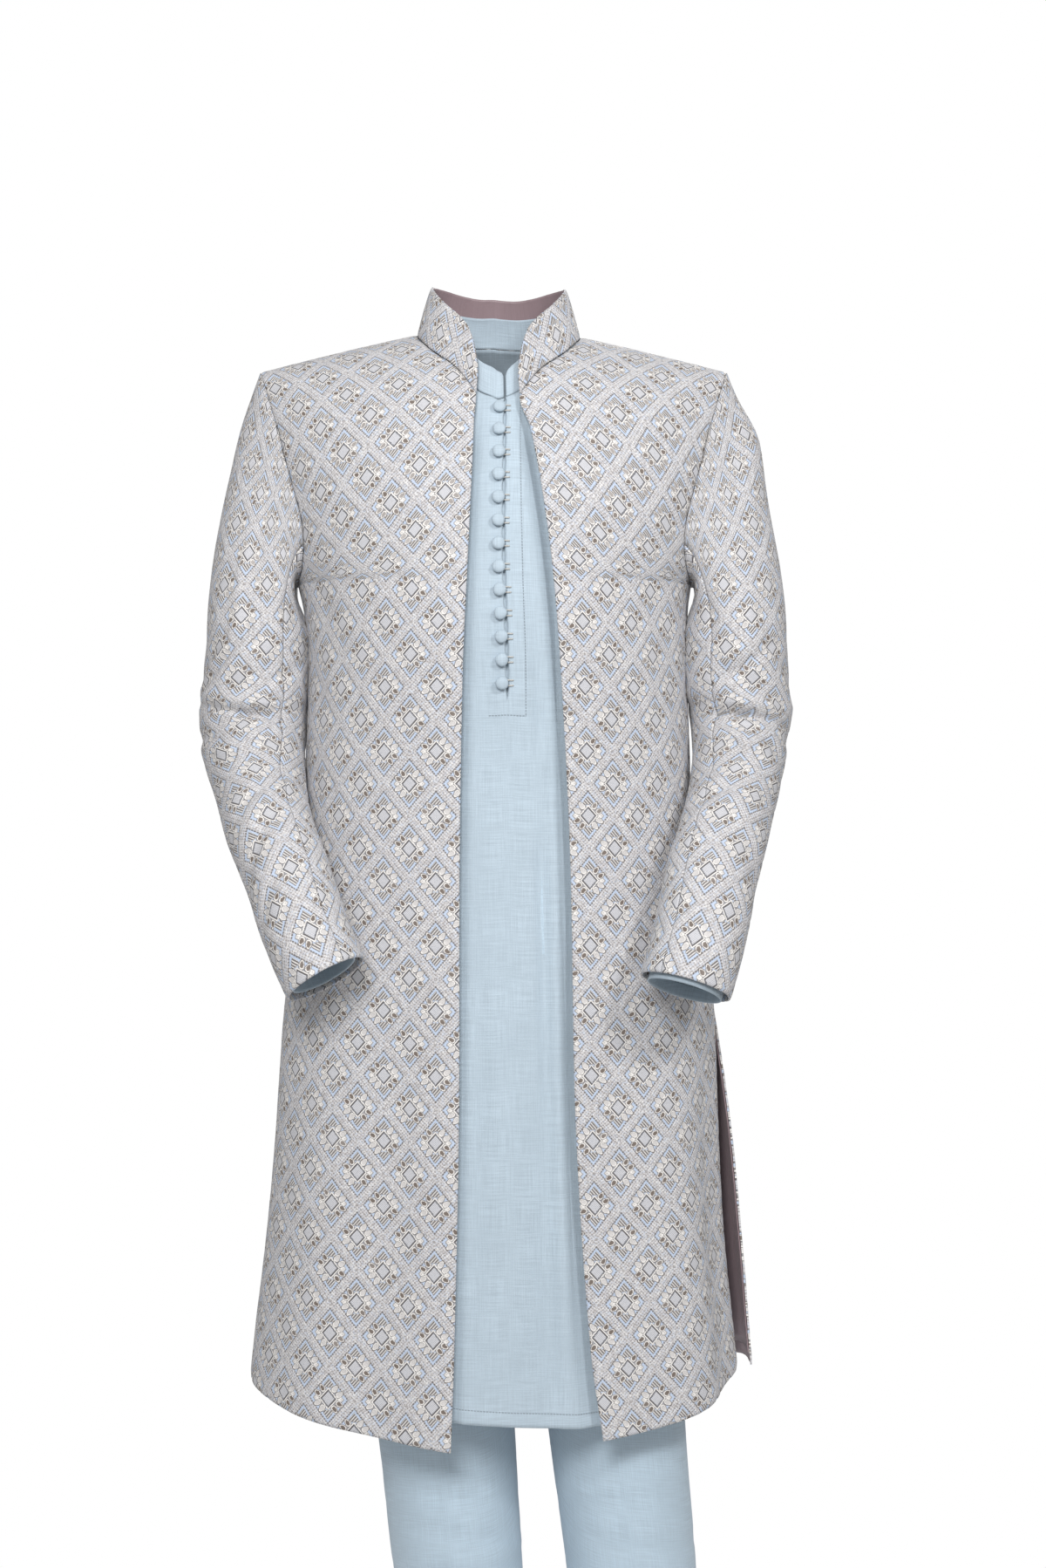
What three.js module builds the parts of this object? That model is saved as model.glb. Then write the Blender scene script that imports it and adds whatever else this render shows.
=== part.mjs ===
// A man's three-piece set as it is worn: an open long coat over a kurta and slim trousers.
// Millimetres, +Z up, +X towards the wearer's left, the fronts face -Y.
// Z = 0 is the level of the two neck points, where the shoulder seams meet the collar.
import * as THREE from "three";

// Driving sizes.
const CHEST_LEVEL = -240; // bottom of the armholes
const SHOULDER_HALF = 223; // centre to shoulder tip
const DOME_HALF = 240; // half width of the shoulder line drawn on past the tips
const SHOULDER_DROP = 36; // neck point to shoulder tip
const NECK_RISE = 12; // the shoulder line drawn on to the centre
const SHOULDER_BEND = 1.15; // power that curves the shoulder line
const ROUND = 0.909; // power that rounds the chest over into the shoulder line
const SEAM = 0.35; // gap between two sewn pieces
const REST = 0.6; // gap between two layers that lie on each other
const COAT_WALL = 1.8; // brocade with its embroidery
const KURTA_WALL = 1.2;
const TROUSER_WALL = 1.4;
const LINING_WALL = 1.0;
const KURTA_EASE = 6.5; // kurta inside the coat's outer face, below the shoulders

// Rings of the coat's body below the chest: half width, depth before and behind, shift to the left.
const BODY = [
  { z: -240, half: 187, front: 138, back: 122, shift: 1 },
  { z: -262, half: 183, front: 138, back: 121, shift: 2 },
  { z: -300, half: 180.5, front: 135, back: 117, shift: 3.5 },
  { z: -350, half: 181, front: 128, back: 110, shift: 4 },
  { z: -400, half: 183, front: 122, back: 107, shift: 4 },
  { z: -460, half: 184.5, front: 119, back: 112, shift: 4 },
  { z: -520, half: 189, front: 118, back: 120, shift: 4 },
  { z: -600, half: 200, front: 119, back: 127, shift: 4 },
  { z: -662, half: 207, front: 122, back: 130, shift: 4 },
  { z: -780, half: 217, front: 127, back: 131, shift: 4 },
  { z: -860, half: 225, front: 130, back: 132, shift: 4 },
  { z: -940, half: 234, front: 134, back: 134, shift: 4 },
  { z: -1040, half: 244, front: 138, back: 138, shift: 4 },
];
// Soft upright waves of the skirt: how many go round, how deep at the hem, and where they start.
const SKIRT_WAVES = [
  { count: 7, depth: 3.2, phase: 0.6 },
  { count: 11, depth: 1.8, phase: 2.1 },
];
const WAVES_FROM = -430;
// Below the slit tops the panels part: how far each stands out at the side.
const SLIT_TOP = -640;
const SLIT_SPREAD = [
  { z: -640, frontLeft: 0, backLeft: 0, kurtaLeft: 0, frontRight: 0, backRight: 0, kurtaRight: 0 },
  { z: -762, frontLeft: -7, backLeft: 6, kurtaLeft: -11, frontRight: -1, backRight: -6, kurtaRight: -10 },
  { z: -862, frontLeft: -12, backLeft: 5, kurtaLeft: -15, frontRight: -1, backRight: -8, kurtaRight: -12 },
  { z: -955, frontLeft: -13, backLeft: 2, kurtaLeft: -15, frontRight: 0, backRight: -8, kurtaRight: -12 },
  { z: -1040, frontLeft: -12, backLeft: 1, kurtaLeft: -15, frontRight: 0, backRight: -8, kurtaRight: -12 },
];
// The coat's hem round the body, by degrees from the centre front.
const HEM = [
  { turn: 0, z: -1037 },
  { turn: 35, z: -1019 },
  { turn: 60, z: -1002 },
  { turn: 90, z: -983 },
  { turn: 100, z: -977 },
  { turn: 135, z: -992 },
  { turn: 180, z: -1002 },
];
// Front edges of the coat, from the collar to the hem.
const FRONT_EDGE = [
  { z: -30, right: -14, left: 24 },
  { z: -66, right: -16, left: 28 },
  { z: -130, right: -18, left: 41 },
  { z: -221, right: -22, left: 54 },
  { z: -330, right: -27, left: 63 },
  { z: -508, right: -30, left: 72 },
  { z: -747, right: -30, left: 77 },
  { z: -955, right: -34, left: 91 },
  { z: -1040, right: -37, left: 103 },
];
// Rows from the chest (rise 0) to the shoulder line (rise 90): where armhole and neckline cross them.
const YOKE = [
  { rise: 0, armFront: 187, armBack: 187 },
  { rise: 3, armFront: 181, armBack: 184 },
  { rise: 8, armFront: 178, armBack: 183 },
  { rise: 14, armFront: 180, armBack: 185 },
  { rise: 23, armFront: 188, armBack: 190 },
  { rise: 32, armFront: 196, armBack: 197 },
  { rise: 41, armFront: 202, armBack: 203, neck: 20 },
  { rise: 51, armFront: 209, armBack: 209, neck: 39 },
  { rise: 62, armFront: 215, armBack: 215, neck: 63 },
  { rise: 75, armFront: 220, armBack: 220, neck: 76 },
  { rise: 90, armFront: 223, armBack: 223, neck: 76 },
];
const NECK_ROW = 6; // the YOKE row where the front edges end and the neckline starts
// Back neckline: how far from the centre, and how high the back reaches there.
const BACK_NECK = [
  { x: 0, rise: 68 },
  { x: 22, rise: 69.5 },
  { x: 44, rise: 74 },
  { x: 62, rise: 81 },
  { x: 76, rise: 90 },
];
const NECK_REACH = 80; // the kurta lies a little deeper this near to the neck's centre
const NECK_SHIFT = 5; // the neckline's centre lies a little to the left

// Sleeve sections: x is measured outwards, across and deep are half sizes, pitch leans them forwards.
const RIGHT_SLEEVE = [
  { x: 228, y: -6, z: -290, across: 44.5, deep: 62, pitch: 0, lean: 0 },
  { x: 229, y: -5, z: -340, across: 48.5, deep: 60, pitch: 3, lean: 0 },
  { x: 229.5, y: -12, z: -388, across: 49.5, deep: 56, pitch: 17, lean: 6 },
  { x: 218.5, y: -40, z: -435, across: 42.5, deep: 50, pitch: 30, lean: 14 },
  { x: 206.5, y: -73, z: -472, across: 41, deep: 47, pitch: 36, lean: 17 },
  { x: 189, y: -102, z: -510, across: 40, deep: 46, pitch: 34, lean: 20 },
  { x: 169.5, y: -129, z: -560, across: 39.5, deep: 46, pitch: 27, lean: 25 },
  { x: 149, y: -150, z: -603, across: 39, deep: 46, pitch: 14, lean: 30 },
];
const LEFT_SLEEVE = [
  { x: 235, y: -6, z: -290, across: 43.5, deep: 62, pitch: 0, lean: 0 },
  { x: 236.5, y: -5, z: -340, across: 45.5, deep: 60, pitch: 3, lean: 0 },
  { x: 236, y: -12.4, z: -388, across: 44.5, deep: 56.5, pitch: 17, lean: 5 },
  { x: 226, y: -40, z: -435, across: 41.5, deep: 50, pitch: 30, lean: 10 },
  { x: 214.5, y: -73, z: -472, across: 41.5, deep: 47, pitch: 36, lean: 12 },
  { x: 201, y: -102, z: -512, across: 42.5, deep: 46, pitch: 34, lean: 14 },
  { x: 188.5, y: -129, z: -563, across: 42, deep: 46, pitch: 27, lean: 16 },
  { x: 174, y: -150, z: -610, across: 42, deep: 46, pitch: 14, lean: 17 },
];
// Sleeve folds: level, place round the arm (0 outside, 90 in front), width, reach round, depth, slant.
const SLEEVE_FOLDS = [
  { z: -296, around: 60, width: 11, reach: 60, depth: -2.6, slant: 0.7 },
  { z: -340, around: 80, width: 10, reach: 55, depth: -3.0, slant: 0.5 },
  { z: -377, around: 95, width: 9, reach: 65, depth: -5.0, slant: 0.2 },
  { z: -404, around: 95, width: 10, reach: 55, depth: 3.0, slant: 0.1 },
  { z: -428, around: 110, width: 9, reach: 60, depth: -4.0, slant: -0.2 },
  { z: -500, around: 60, width: 14, reach: 60, depth: -1.8, slant: 0.4 },
];
const COAT_ROWS = 14; // rows of the coat's body below the chest
const FRONT_COLUMNS = 8;
const SIDE_TURN = 89.917; // degrees from the centre at which a panel ends at the side seam
const SIDE_COLUMNS = 5; // columns of a back or a kurta panel, on each side of the neck
const SLEEVE_STEPS = 18; // rings from armhole to cuff
const CAP_STEPS = 5; // of them above the first section
// A sleeve leaves the armhole outwards: how far under the arm and at the shoulder, and how far it sinks.
const UNDERARM_SWING = { out: 13, up: 2 };
const SHOULDER_SWING = { out: 26, up: -80 };
const UNDERARM_REACH = 18; // and it comes down into its first section over these heights
const SHOULDER_REACH = 80;
const ARMHOLE_CENTRE = new THREE.Vector3(0, 0, -150);
const SLEEVE_GAP = 0.56; // from a body's armhole to the sleeve's first ring
const FRONT_SEAM_ROW = 2; // YOKE rows where the sleeve's two seams start
const BACK_SEAM_ROW = 4;

// Collars: heights of the bands and how much their top closes in on the neck.
const COAT_COLLAR_HEIGHT = 45;
const COAT_COLLAR_END = 16; // height left at the rounded front ends
const COLLAR_ROUNDING = 34; // length along the base that the rounding takes
const COLLAR_CLOSE = 13;
const COLLAR_ROWS = 3;
const ROUNDING_PARTS = 3; // columns for each base point where an end is rounded
const KURTA_COLLAR_HEIGHT = 28;
const KURTA_COLLAR_END = 20;
const KURTA_COLLAR_ROUNDING = 14;

// Kurta: necklines by distance from their centre, front slit and its facing, hem and buttons.
const KURTA_FRONT_NECK = [
  { x: 0, rise: 40.5 },
  { x: 22, rise: 44.5 },
  { x: 42, rise: 53 },
  { x: 58, rise: 66 },
  { x: 68, rise: 90 },
];
const KURTA_BACK_NECK = [
  { x: 0, rise: 71 },
  { x: 26, rise: 73 },
  { x: 50, rise: 79 },
  { x: 68, rise: 90 },
];
const SLIT_PLACE = 12.5; // on the shoulder line
const SLIT_HALF = 1.9;
const FACING_HALF = 17;
const SLIT_END = -352;
const FACING_END = -366;
const KURTA_FOOT = -1009;
// The kurta's hem, by degrees from the centre front, to the left.
const KURTA_HEM = [
  { turn: -180, z: -984 },
  { turn: -90, z: -962 },
  { turn: -40, z: -995 },
  { turn: -14, z: -1006 },
  { turn: 38, z: -1014 },
  { turn: 62, z: -988 },
  { turn: 90, z: -962 },
  { turn: 180, z: -984 },
];
const KURTA_CUFF_PAST = 4; // the left kurta cuff shows under the coat's
const KURTA_SLEEVE_THIN = 6.5;
const KURTA_SLEEVE_STEPS = 12;
const KURTA_CAP_STEPS = 4;
const BUTTON_COUNT = 13;
const BUTTON_TOP = -84;
const BUTTON_STEP = 21;
const BUTTON_SET = -5.2; // button centre from the middle of the slit
const BUTTON_OUTLINE = [[0, 0], [1.6, 0], [1.6, 2.1], [5, 2.5], [6, 4.2], [3.6, 6.6], [0, 7.2]];
const BUTTON_SIDES = 8;
const LOOP_RADIUS = 0.7;
const LOOP_WIDE = 2.6; // half width of a loop round the button's shank
const LOOP_ROOT = 5.4; // where it is sewn, past the middle of the slit

// Trousers: one leg, measured outwards from the line between the legs.
const BAND_TOP = -418;
const BAND_FOOT = -454;
const CROTCH = -690;
const HIP = -585; // the seat is round from here up
const LEG_LINE = 3; // where the line between the legs meets the crotch
const LEG_LEAN = 0.094; // that line leans to the wearer's left, per mm below the crotch
const LEG = [
  { z: -690, centre: 88, across: 86, deep: 90, y: 4 },
  { z: -800, centre: 84, across: 78, deep: 82, y: 2 },
  { z: -950, centre: 82, across: 69, deep: 74, y: -2 },
  { z: -1062, centre: 81.5, across: 65, deep: 68, y: -2 },
  { z: -1176, centre: 83, across: 62, deep: 66, y: 6 },
  { z: -1300, centre: 82, across: 56, deep: 62, y: 12 },
  { z: -1400, centre: 81, across: 52, deep: 57, y: 12 },
];
const LEG_LEVELS = [
  -1400, -1290, -1180, -1062, -950, -840, -750, CROTCH, -665, -638, -610, HIP, -520, BAND_FOOT - SEAM,
];
const LEG_COLUMNS = 6;
const LEG_SEAM = 0.2; // degrees from a leg's seam line to the edge of its cloth
const BAND_COLUMNS = 32;
const BAND_WALL = 2.2; // the waistband is two layers of the cloth

// Rounds and measures.
const RAD = Math.PI / 180;
const mix = (a, b, t) => a + (b - a) * t;
const clamp = (t) => Math.min(1, Math.max(0, t));
const smooth = (t) => clamp(t) ** 2 * (3 - 2 * clamp(t));
const power = (v, e) => Math.sign(v) * Math.abs(v) ** e;

// A table's column as a smooth curve through its rows: a cubic whose slopes are the rows' mean slopes.
function column(rows, by, name) {
  const list = rows.filter((row) => name in row).sort((a, b) => a[by] - b[by]);
  const slopes = list.map((row, i) => {
    const before = list[Math.max(0, i - 1)];
    const after = list[Math.min(list.length - 1, i + 1)];
    return (after[name] - before[name]) / (after[by] - before[by]);
  });
  return (at) => {
    const last = list.length - 1;
    const held = Math.min(list[last][by], Math.max(list[0][by], at));
    let i = 0;
    while (i < last - 1 && held > list[i + 1][by]) i += 1;
    const span = list[i + 1][by] - list[i][by];
    const t = (held - list[i][by]) / span;
    const from = list[i][name];
    const to = list[i + 1][name];
    const bend = t * (1 - t) * span;
    return mix(from, to, t * t * (3 - 2 * t)) + bend * ((1 - t) * slopes[i] - t * slopes[i + 1]);
  };
}
const columns = (rows, by, names) =>
  Object.fromEntries(names.map((name) => [name, column(rows, by, name)]));

// Body surface.
const body = columns(BODY, "z", ["half", "front", "back", "shift"]);
const spread = columns(SLIT_SPREAD, "z", Object.keys(SLIT_SPREAD[0]).slice(1));
const hemCurve = column(HEM, "turn", "z");
const hemAt = (turn) => hemCurve(Math.abs(turn));
const edge = columns(FRONT_EDGE, "z", ["right", "left"]);
const shoulderLine = (x) => {
  const along = Math.abs(x) / SHOULDER_HALF;
  return NECK_RISE - (SHOULDER_DROP + NECK_RISE) * along ** SHOULDER_BEND;
};

// The point at an angle from the centre front (left positive) on the ring at a level below the chest.
function ringPoint(z, angle, inset, panel) {
  const s = Math.sin(angle);
  const c = Math.cos(angle);
  const deep = (c > 0 ? body.front(z) : body.back(z)) - inset;
  let out = 0;
  for (const wave of SKIRT_WAVES) out += wave.depth * Math.cos(wave.count * angle + wave.phase);
  out *= smooth((WAVES_FROM - z) / 500);
  if (panel && z < SLIT_TOP) out += spread[panel + (s > 0 ? "Left" : "Right")](z) * s ** 6;
  const x = body.shift(z) + (body.half(z) - inset + out) * s;
  return new THREE.Vector3(x, -(deep + out) * c, z);
}

// The point above the chest: rise 0 is the chest ring and rise 90 the shoulder line, x is its place across.
function yokePoint(rise, x, front, inset) {
  const up = Math.sin(rise * RAD);
  const half = mix(BODY[0].half, DOME_HALF, up);
  const middle = BODY[0].shift * (1 - up);
  const s = clamp(Math.abs(x - middle) / half);
  const deep = (front ? BODY[0].front : BODY[0].back) - inset;
  const ridge = shoulderLine(x) - inset;
  const y = deep * Math.sqrt(1 - s * s) * Math.cos(rise * RAD) ** ROUND;
  const across = middle + Math.sign(x - middle) * s * (half - inset * (1 - up));
  const z = CHEST_LEVEL + (ridge - CHEST_LEVEL) * up ** ROUND;
  return new THREE.Vector3(across, (front ? -1 : 1) * Math.max(y, SEAM / 2), z);
}
function angleAt(x, z) {
  const off = x - body.shift(z);
  return Math.asin(clamp(Math.abs(off) / body.half(z))) * Math.sign(off);
}

// Solids.
// A wall between two grids of points. Cells that "open" names are left out, and "round" joins last to first.
function wall(outer, inner, { round = false, open = () => false } = {}) {
  const rows = outer.length;
  const cols = outer[0].length;
  const vertices = [...outer.flat(), ...inner.flat()].flatMap((p) => [p.x, p.y, p.z]);
  const at = (side, i, j) => side * rows * cols + i * cols + (j % cols);
  const lastCell = round ? cols : cols - 1;
  const here = (i, j) => i >= 0 && i < rows - 1 && (round || (j >= 0 && j < lastCell)) && !open(i, j);
  const faces = [];
  const quad = (a, b, c, d) => faces.push(...(round ? [a, b, c, a, c, d] : [a, b, d, b, c, d]));
  for (let i = 0; i < rows - 1; i++) {
    for (let j = 0; j < lastCell; j++) {
      if (!here(i, j)) continue;
      quad(at(0, i, j), at(0, i, j + 1), at(0, i + 1, j + 1), at(0, i + 1, j));
      quad(at(1, i, j), at(1, i + 1, j), at(1, i + 1, j + 1), at(1, i, j + 1));
      if (!here(i - 1, j)) quad(at(0, i, j), at(1, i, j), at(1, i, j + 1), at(0, i, j + 1));
      if (!here(i + 1, j)) quad(at(0, i + 1, j), at(0, i + 1, j + 1), at(1, i + 1, j + 1), at(1, i + 1, j));
      if (!round && !here(i, j - 1)) quad(at(0, i, j), at(0, i + 1, j), at(1, i + 1, j), at(1, i, j));
      if (!round && !here(i, j + 1)) {
        quad(at(0, i, j + 1), at(1, i, j + 1), at(1, i + 1, j + 1), at(0, i + 1, j + 1));
      }
    }
  }
  return closed(vertices, faces);
}

// A geometry whose faces look outwards, whichever way its grid ran.
function closed(vertices, faces) {
  const p = (k) => new THREE.Vector3().fromArray(vertices, 3 * k);
  let volume = 0;
  for (let k = 0; k < faces.length; k += 3) {
    volume += p(faces[k]).dot(p(faces[k + 1]).cross(p(faces[k + 2])));
  }
  if (volume < 0) {
    for (let k = 0; k < faces.length; k += 3) [faces[k], faces[k + 1]] = [faces[k + 1], faces[k]];
  }
  const geometry = new THREE.BufferGeometry();
  geometry.setAttribute("position", new THREE.Float32BufferAttribute(vertices, 3));
  geometry.setIndex(faces);
  return geometry;
}
const steps = (count) => Array.from({ length: count + 1 }, (_, i) => i / count);

// Cloth and buttons.
const cloth = {
  brocade: { color: 0xcfcfd4, roughness: 0.75, metalness: 0 },
  satin: { color: 0x8d7a80, roughness: 0.4, metalness: 0 },
  kurta: { color: 0xbfd0de, roughness: 0.8, metalness: 0 },
  trouser: { color: 0xa9bbcb, roughness: 0.85, metalness: 0 },
  thread: { color: 0xd9d7d2, roughness: 0.6, metalness: 0 },
};
const set = new THREE.Group();
function sew(name, geometry, kind) {
  const piece = new THREE.Mesh(geometry, new THREE.MeshStandardMaterial({ ...cloth[kind], name: kind }));
  piece.name = name;
  set.add(piece);
  return piece;
}

// A garment for the upper body: what sets the coat and the kurta apart.
// inset(up) is how deep its outer face lies inside the coat's, at the shoulders (up 1) and below (up 0),
// and neckEase is what the neck adds to that.
// A sleeve's first ring is widened by flare and lifted under the arm by raise. Just past it the sleeve is drawn in
// by draw and sent further out by leave, both given under the arm and at the shoulder.
const coat = {
  panels: ["front", "back"],
  neckEase: 0,
  flare: 1.2,
  raise: 0,
  draw: [0, 0],
  leave: [0, 0],
  inset: () => 0,
};
const kurta = {
  panels: ["kurta", "kurta"],
  neckEase: 2.6,
  flare: 0,
  raise: 0.9,
  draw: [26, 5.2],
  leave: [14, -6],
  inset: (up) => mix(KURTA_EASE, COAT_WALL + REST, smooth(up ** 8)),
};
const insetOf = (garment, rise) => garment.inset(Math.sin(rise * RAD));

// A yoke row's crossing with the armhole on one side (-1 right, 1 left).
function armhole(garment, row, side, front) {
  const { rise, armFront, armBack } = YOKE[row];
  const middle = BODY[0].shift * (1 - Math.sin(rise * RAD));
  return yokePoint(rise, middle + side * (front ? armFront : armBack), front, insetOf(garment, rise));
}

// A panel that reaches from armhole to armhole. Its columns are named by their place on the shoulder
// line; those under the neckline end at the rise that the neck table gives. Its rows are yoke rows
// first, from the top, and then levels down to the hem.
const yoke = columns(YOKE, "rise", ["armFront", "armBack"]);
function acrossGrid(garment, { front, places, neck, rows, levels, foot, hem, extra = 0 }) {
  const top = column(neck, "x", "rise");
  const neckEnd = neck[neck.length - 1].x;
  const arm = front ? yoke.armFront : yoke.armBack;
  const share = (place) => place / SHOULDER_HALF;
  const grid = rows.map((row) =>
    places.map((place) => {
      const off = Math.abs(place - NECK_SHIFT);
      const rise = YOKE[row].rise * (off < neckEnd ? top(off) / 90 : 1);
      const middle = BODY[0].shift * (1 - Math.sin(rise * RAD));
      const x = middle + share(place) * arm(rise);
      const ease = off < NECK_REACH ? garment.neckEase * Math.sin(rise * RAD) : 0;
      return yokePoint(rise, x, front, insetOf(garment, rise) + ease + extra);
    }),
  );
  for (const level of levels) {
    const down = (level - CHEST_LEVEL) / (foot - CHEST_LEVEL);
    grid.push(
      places.map((place) => {
        const lean = Math.min(SIDE_TURN, Math.asin(clamp(Math.abs(share(place)))) / RAD);
        const turn = (front ? lean : 180 - lean) * RAD * Math.sign(place || 1);
        const z = mix(CHEST_LEVEL, hem(turn / RAD), down);
        const inset = garment.inset(0) + extra;
        return ringPoint(z, turn, inset, garment.panels[front ? 0 : 1]);
      }),
    );
  }
  return grid;
}
const panelWall = (garment, shape, thick, open) =>
  wall(acrossGrid(garment, shape), acrossGrid(garment, { ...shape, extra: (shape.extra || 0) + thick }), { open });
const spaced = (from, to, count) => steps(count).map((t) => mix(from, to, t));

// Coat back: one piece, with its neckline hollowed.
const ALL_ROWS = YOKE.map((row, i) => i).reverse();
const neckPlaces = (neck) => [
  ...neck.slice(1).map((row) => NECK_SHIFT - row.x).reverse(),
  ...neck.map((row) => NECK_SHIFT + row.x),
];
const neckWidth = (neck) => neck[neck.length - 1].x;
// Places from a neck point out to a shoulder tip, at even turns round the chest.
const outwards = (from, side, count) => {
  const start = Math.asin(from / SHOULDER_HALF);
  return spaced(start, (side * Math.PI) / 2, count).map((turn) => SHOULDER_HALF * Math.sin(turn));
};
const backPlaces = (neck, count) => [
  ...outwards(NECK_SHIFT - neckWidth(neck), -1, count).reverse().slice(0, -1),
  ...neckPlaces(neck),
  ...outwards(NECK_SHIFT + neckWidth(neck), 1, count).slice(1),
];
const COAT_FOOT = HEM[0].z;
const COAT_LEVELS = spaced(CHEST_LEVEL, COAT_FOOT, COAT_ROWS).slice(1);
const coatBack = {
  front: false,
  places: backPlaces(BACK_NECK, SIDE_COLUMNS),
  neck: BACK_NECK,
  rows: ALL_ROWS,
  levels: COAT_LEVELS,
  foot: COAT_FOOT,
  hem: hemAt,
};
sew("coat_back", panelWall(coat, coatBack, COAT_WALL), "brocade");

// Satin lining inside the back skirt, from above the slits to just over the hem.
const LINING_HEM = 12;
const lining = {
  ...coatBack,
  rows: [],
  levels: COAT_LEVELS.filter((level) => level < SLIT_TOP + 60),
  hem: (turn) => hemAt(turn) + LINING_HEM,
  extra: COAT_WALL + REST,
};
sew("coat_back_lining", panelWall(coat, lining, LINING_WALL), "satin");

// Coat fronts: rows run from the front edge or the neckline out to the side seam or the armhole.
function coatFrontGrid(side, extra) {
  const edgeAt = side < 0 ? edge.right : edge.left;
  const share = steps(FRONT_COLUMNS);
  const grid = ALL_ROWS.map((row) => {
    const { rise, armFront, neck } = YOKE[row];
    const up = Math.sin(rise * RAD);
    const half = mix(BODY[0].half, DOME_HALF, up);
    const middle = BODY[0].shift * (1 - up);
    const z = mix(CHEST_LEVEL, NECK_RISE, up ** ROUND);
    const inner = row < NECK_ROW ? edgeAt(z) : NECK_SHIFT + side * neck;
    const from = Math.asin((inner - middle) / half);
    const to = Math.asin(clamp(armFront / half)) * side;
    return share.map((t) => yokePoint(rise, middle + half * Math.sin(mix(from, to, t)), true, extra));
  });
  for (const level of COAT_LEVELS) {
    const from = angleAt(edgeAt(level), level);
    const to = side * SIDE_TURN * RAD;
    const down = (level - CHEST_LEVEL) / (COAT_FOOT - CHEST_LEVEL);
    grid.push(
      share.map((t) => {
        const turn = mix(from, to, t);
        const z = mix(CHEST_LEVEL, hemAt(turn / RAD), down);
        return ringPoint(z, turn, extra, "front");
      }),
    );
  }
  return grid;
}
for (const [name, side] of [["right", -1], ["left", 1]]) {
  sew("coat_front_" + name, wall(coatFrontGrid(side, 0), coatFrontGrid(side, COAT_WALL)), "brocade");
}

// Collars: bands that stand on the neckline, close in on the neck and have rounded front ends.
const NECK_CENTRE = new THREE.Vector3(NECK_SHIFT, -25, 0);
function collar(name, base, { height, endHeight, rounding, close, thick, kind }) {
  const ends = [base[0], base[base.length - 1]];
  const nearEnd = (p) => Math.min(...ends.map((end) => end.distanceTo(p)));
  const fine = base.flatMap((p, i) => {
    const next = base[i + 1];
    if (!next) return [p];
    const parts = Math.min(nearEnd(p), nearEnd(next)) < rounding ? ROUNDING_PARTS : 1;
    return steps(parts).slice(0, -1).map((t) => p.clone().lerp(next, t));
  });
  const grid = (deeper) =>
    steps(COLLAR_ROWS).map((up) =>
      fine.map((p) => {
        const along = clamp(nearEnd(p) / rounding);
        const tall = mix(endHeight, height, Math.sqrt(1 - (1 - along) ** 2)) * up;
        const inward = NECK_CENTRE.clone().sub(p).setZ(0).normalize();
        return p.clone().addScaledVector(inward, SEAM + deeper + (close * tall) / height).setZ(p.z + SEAM + tall);
      }),
    );
  sew(name, wall(grid(0), grid(thick)), kind);
}
const coatBackTop = acrossGrid(coat, coatBack)[0].slice(SIDE_COLUMNS + 1, -SIDE_COLUMNS - 1);
const coatFrontTop = (side) =>
  coatFrontGrid(side, 0).slice(0, YOKE.length - NECK_ROW).map((row) => row[0]).reverse();
collar("coat_collar", [...coatFrontTop(-1), ...coatBackTop, ...coatFrontTop(1).reverse()], {
  height: COAT_COLLAR_HEIGHT,
  endHeight: COAT_COLLAR_END,
  rounding: COLLAR_ROUNDING,
  close: COLLAR_CLOSE,
  thick: COAT_WALL,
  kind: "brocade",
});

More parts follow.
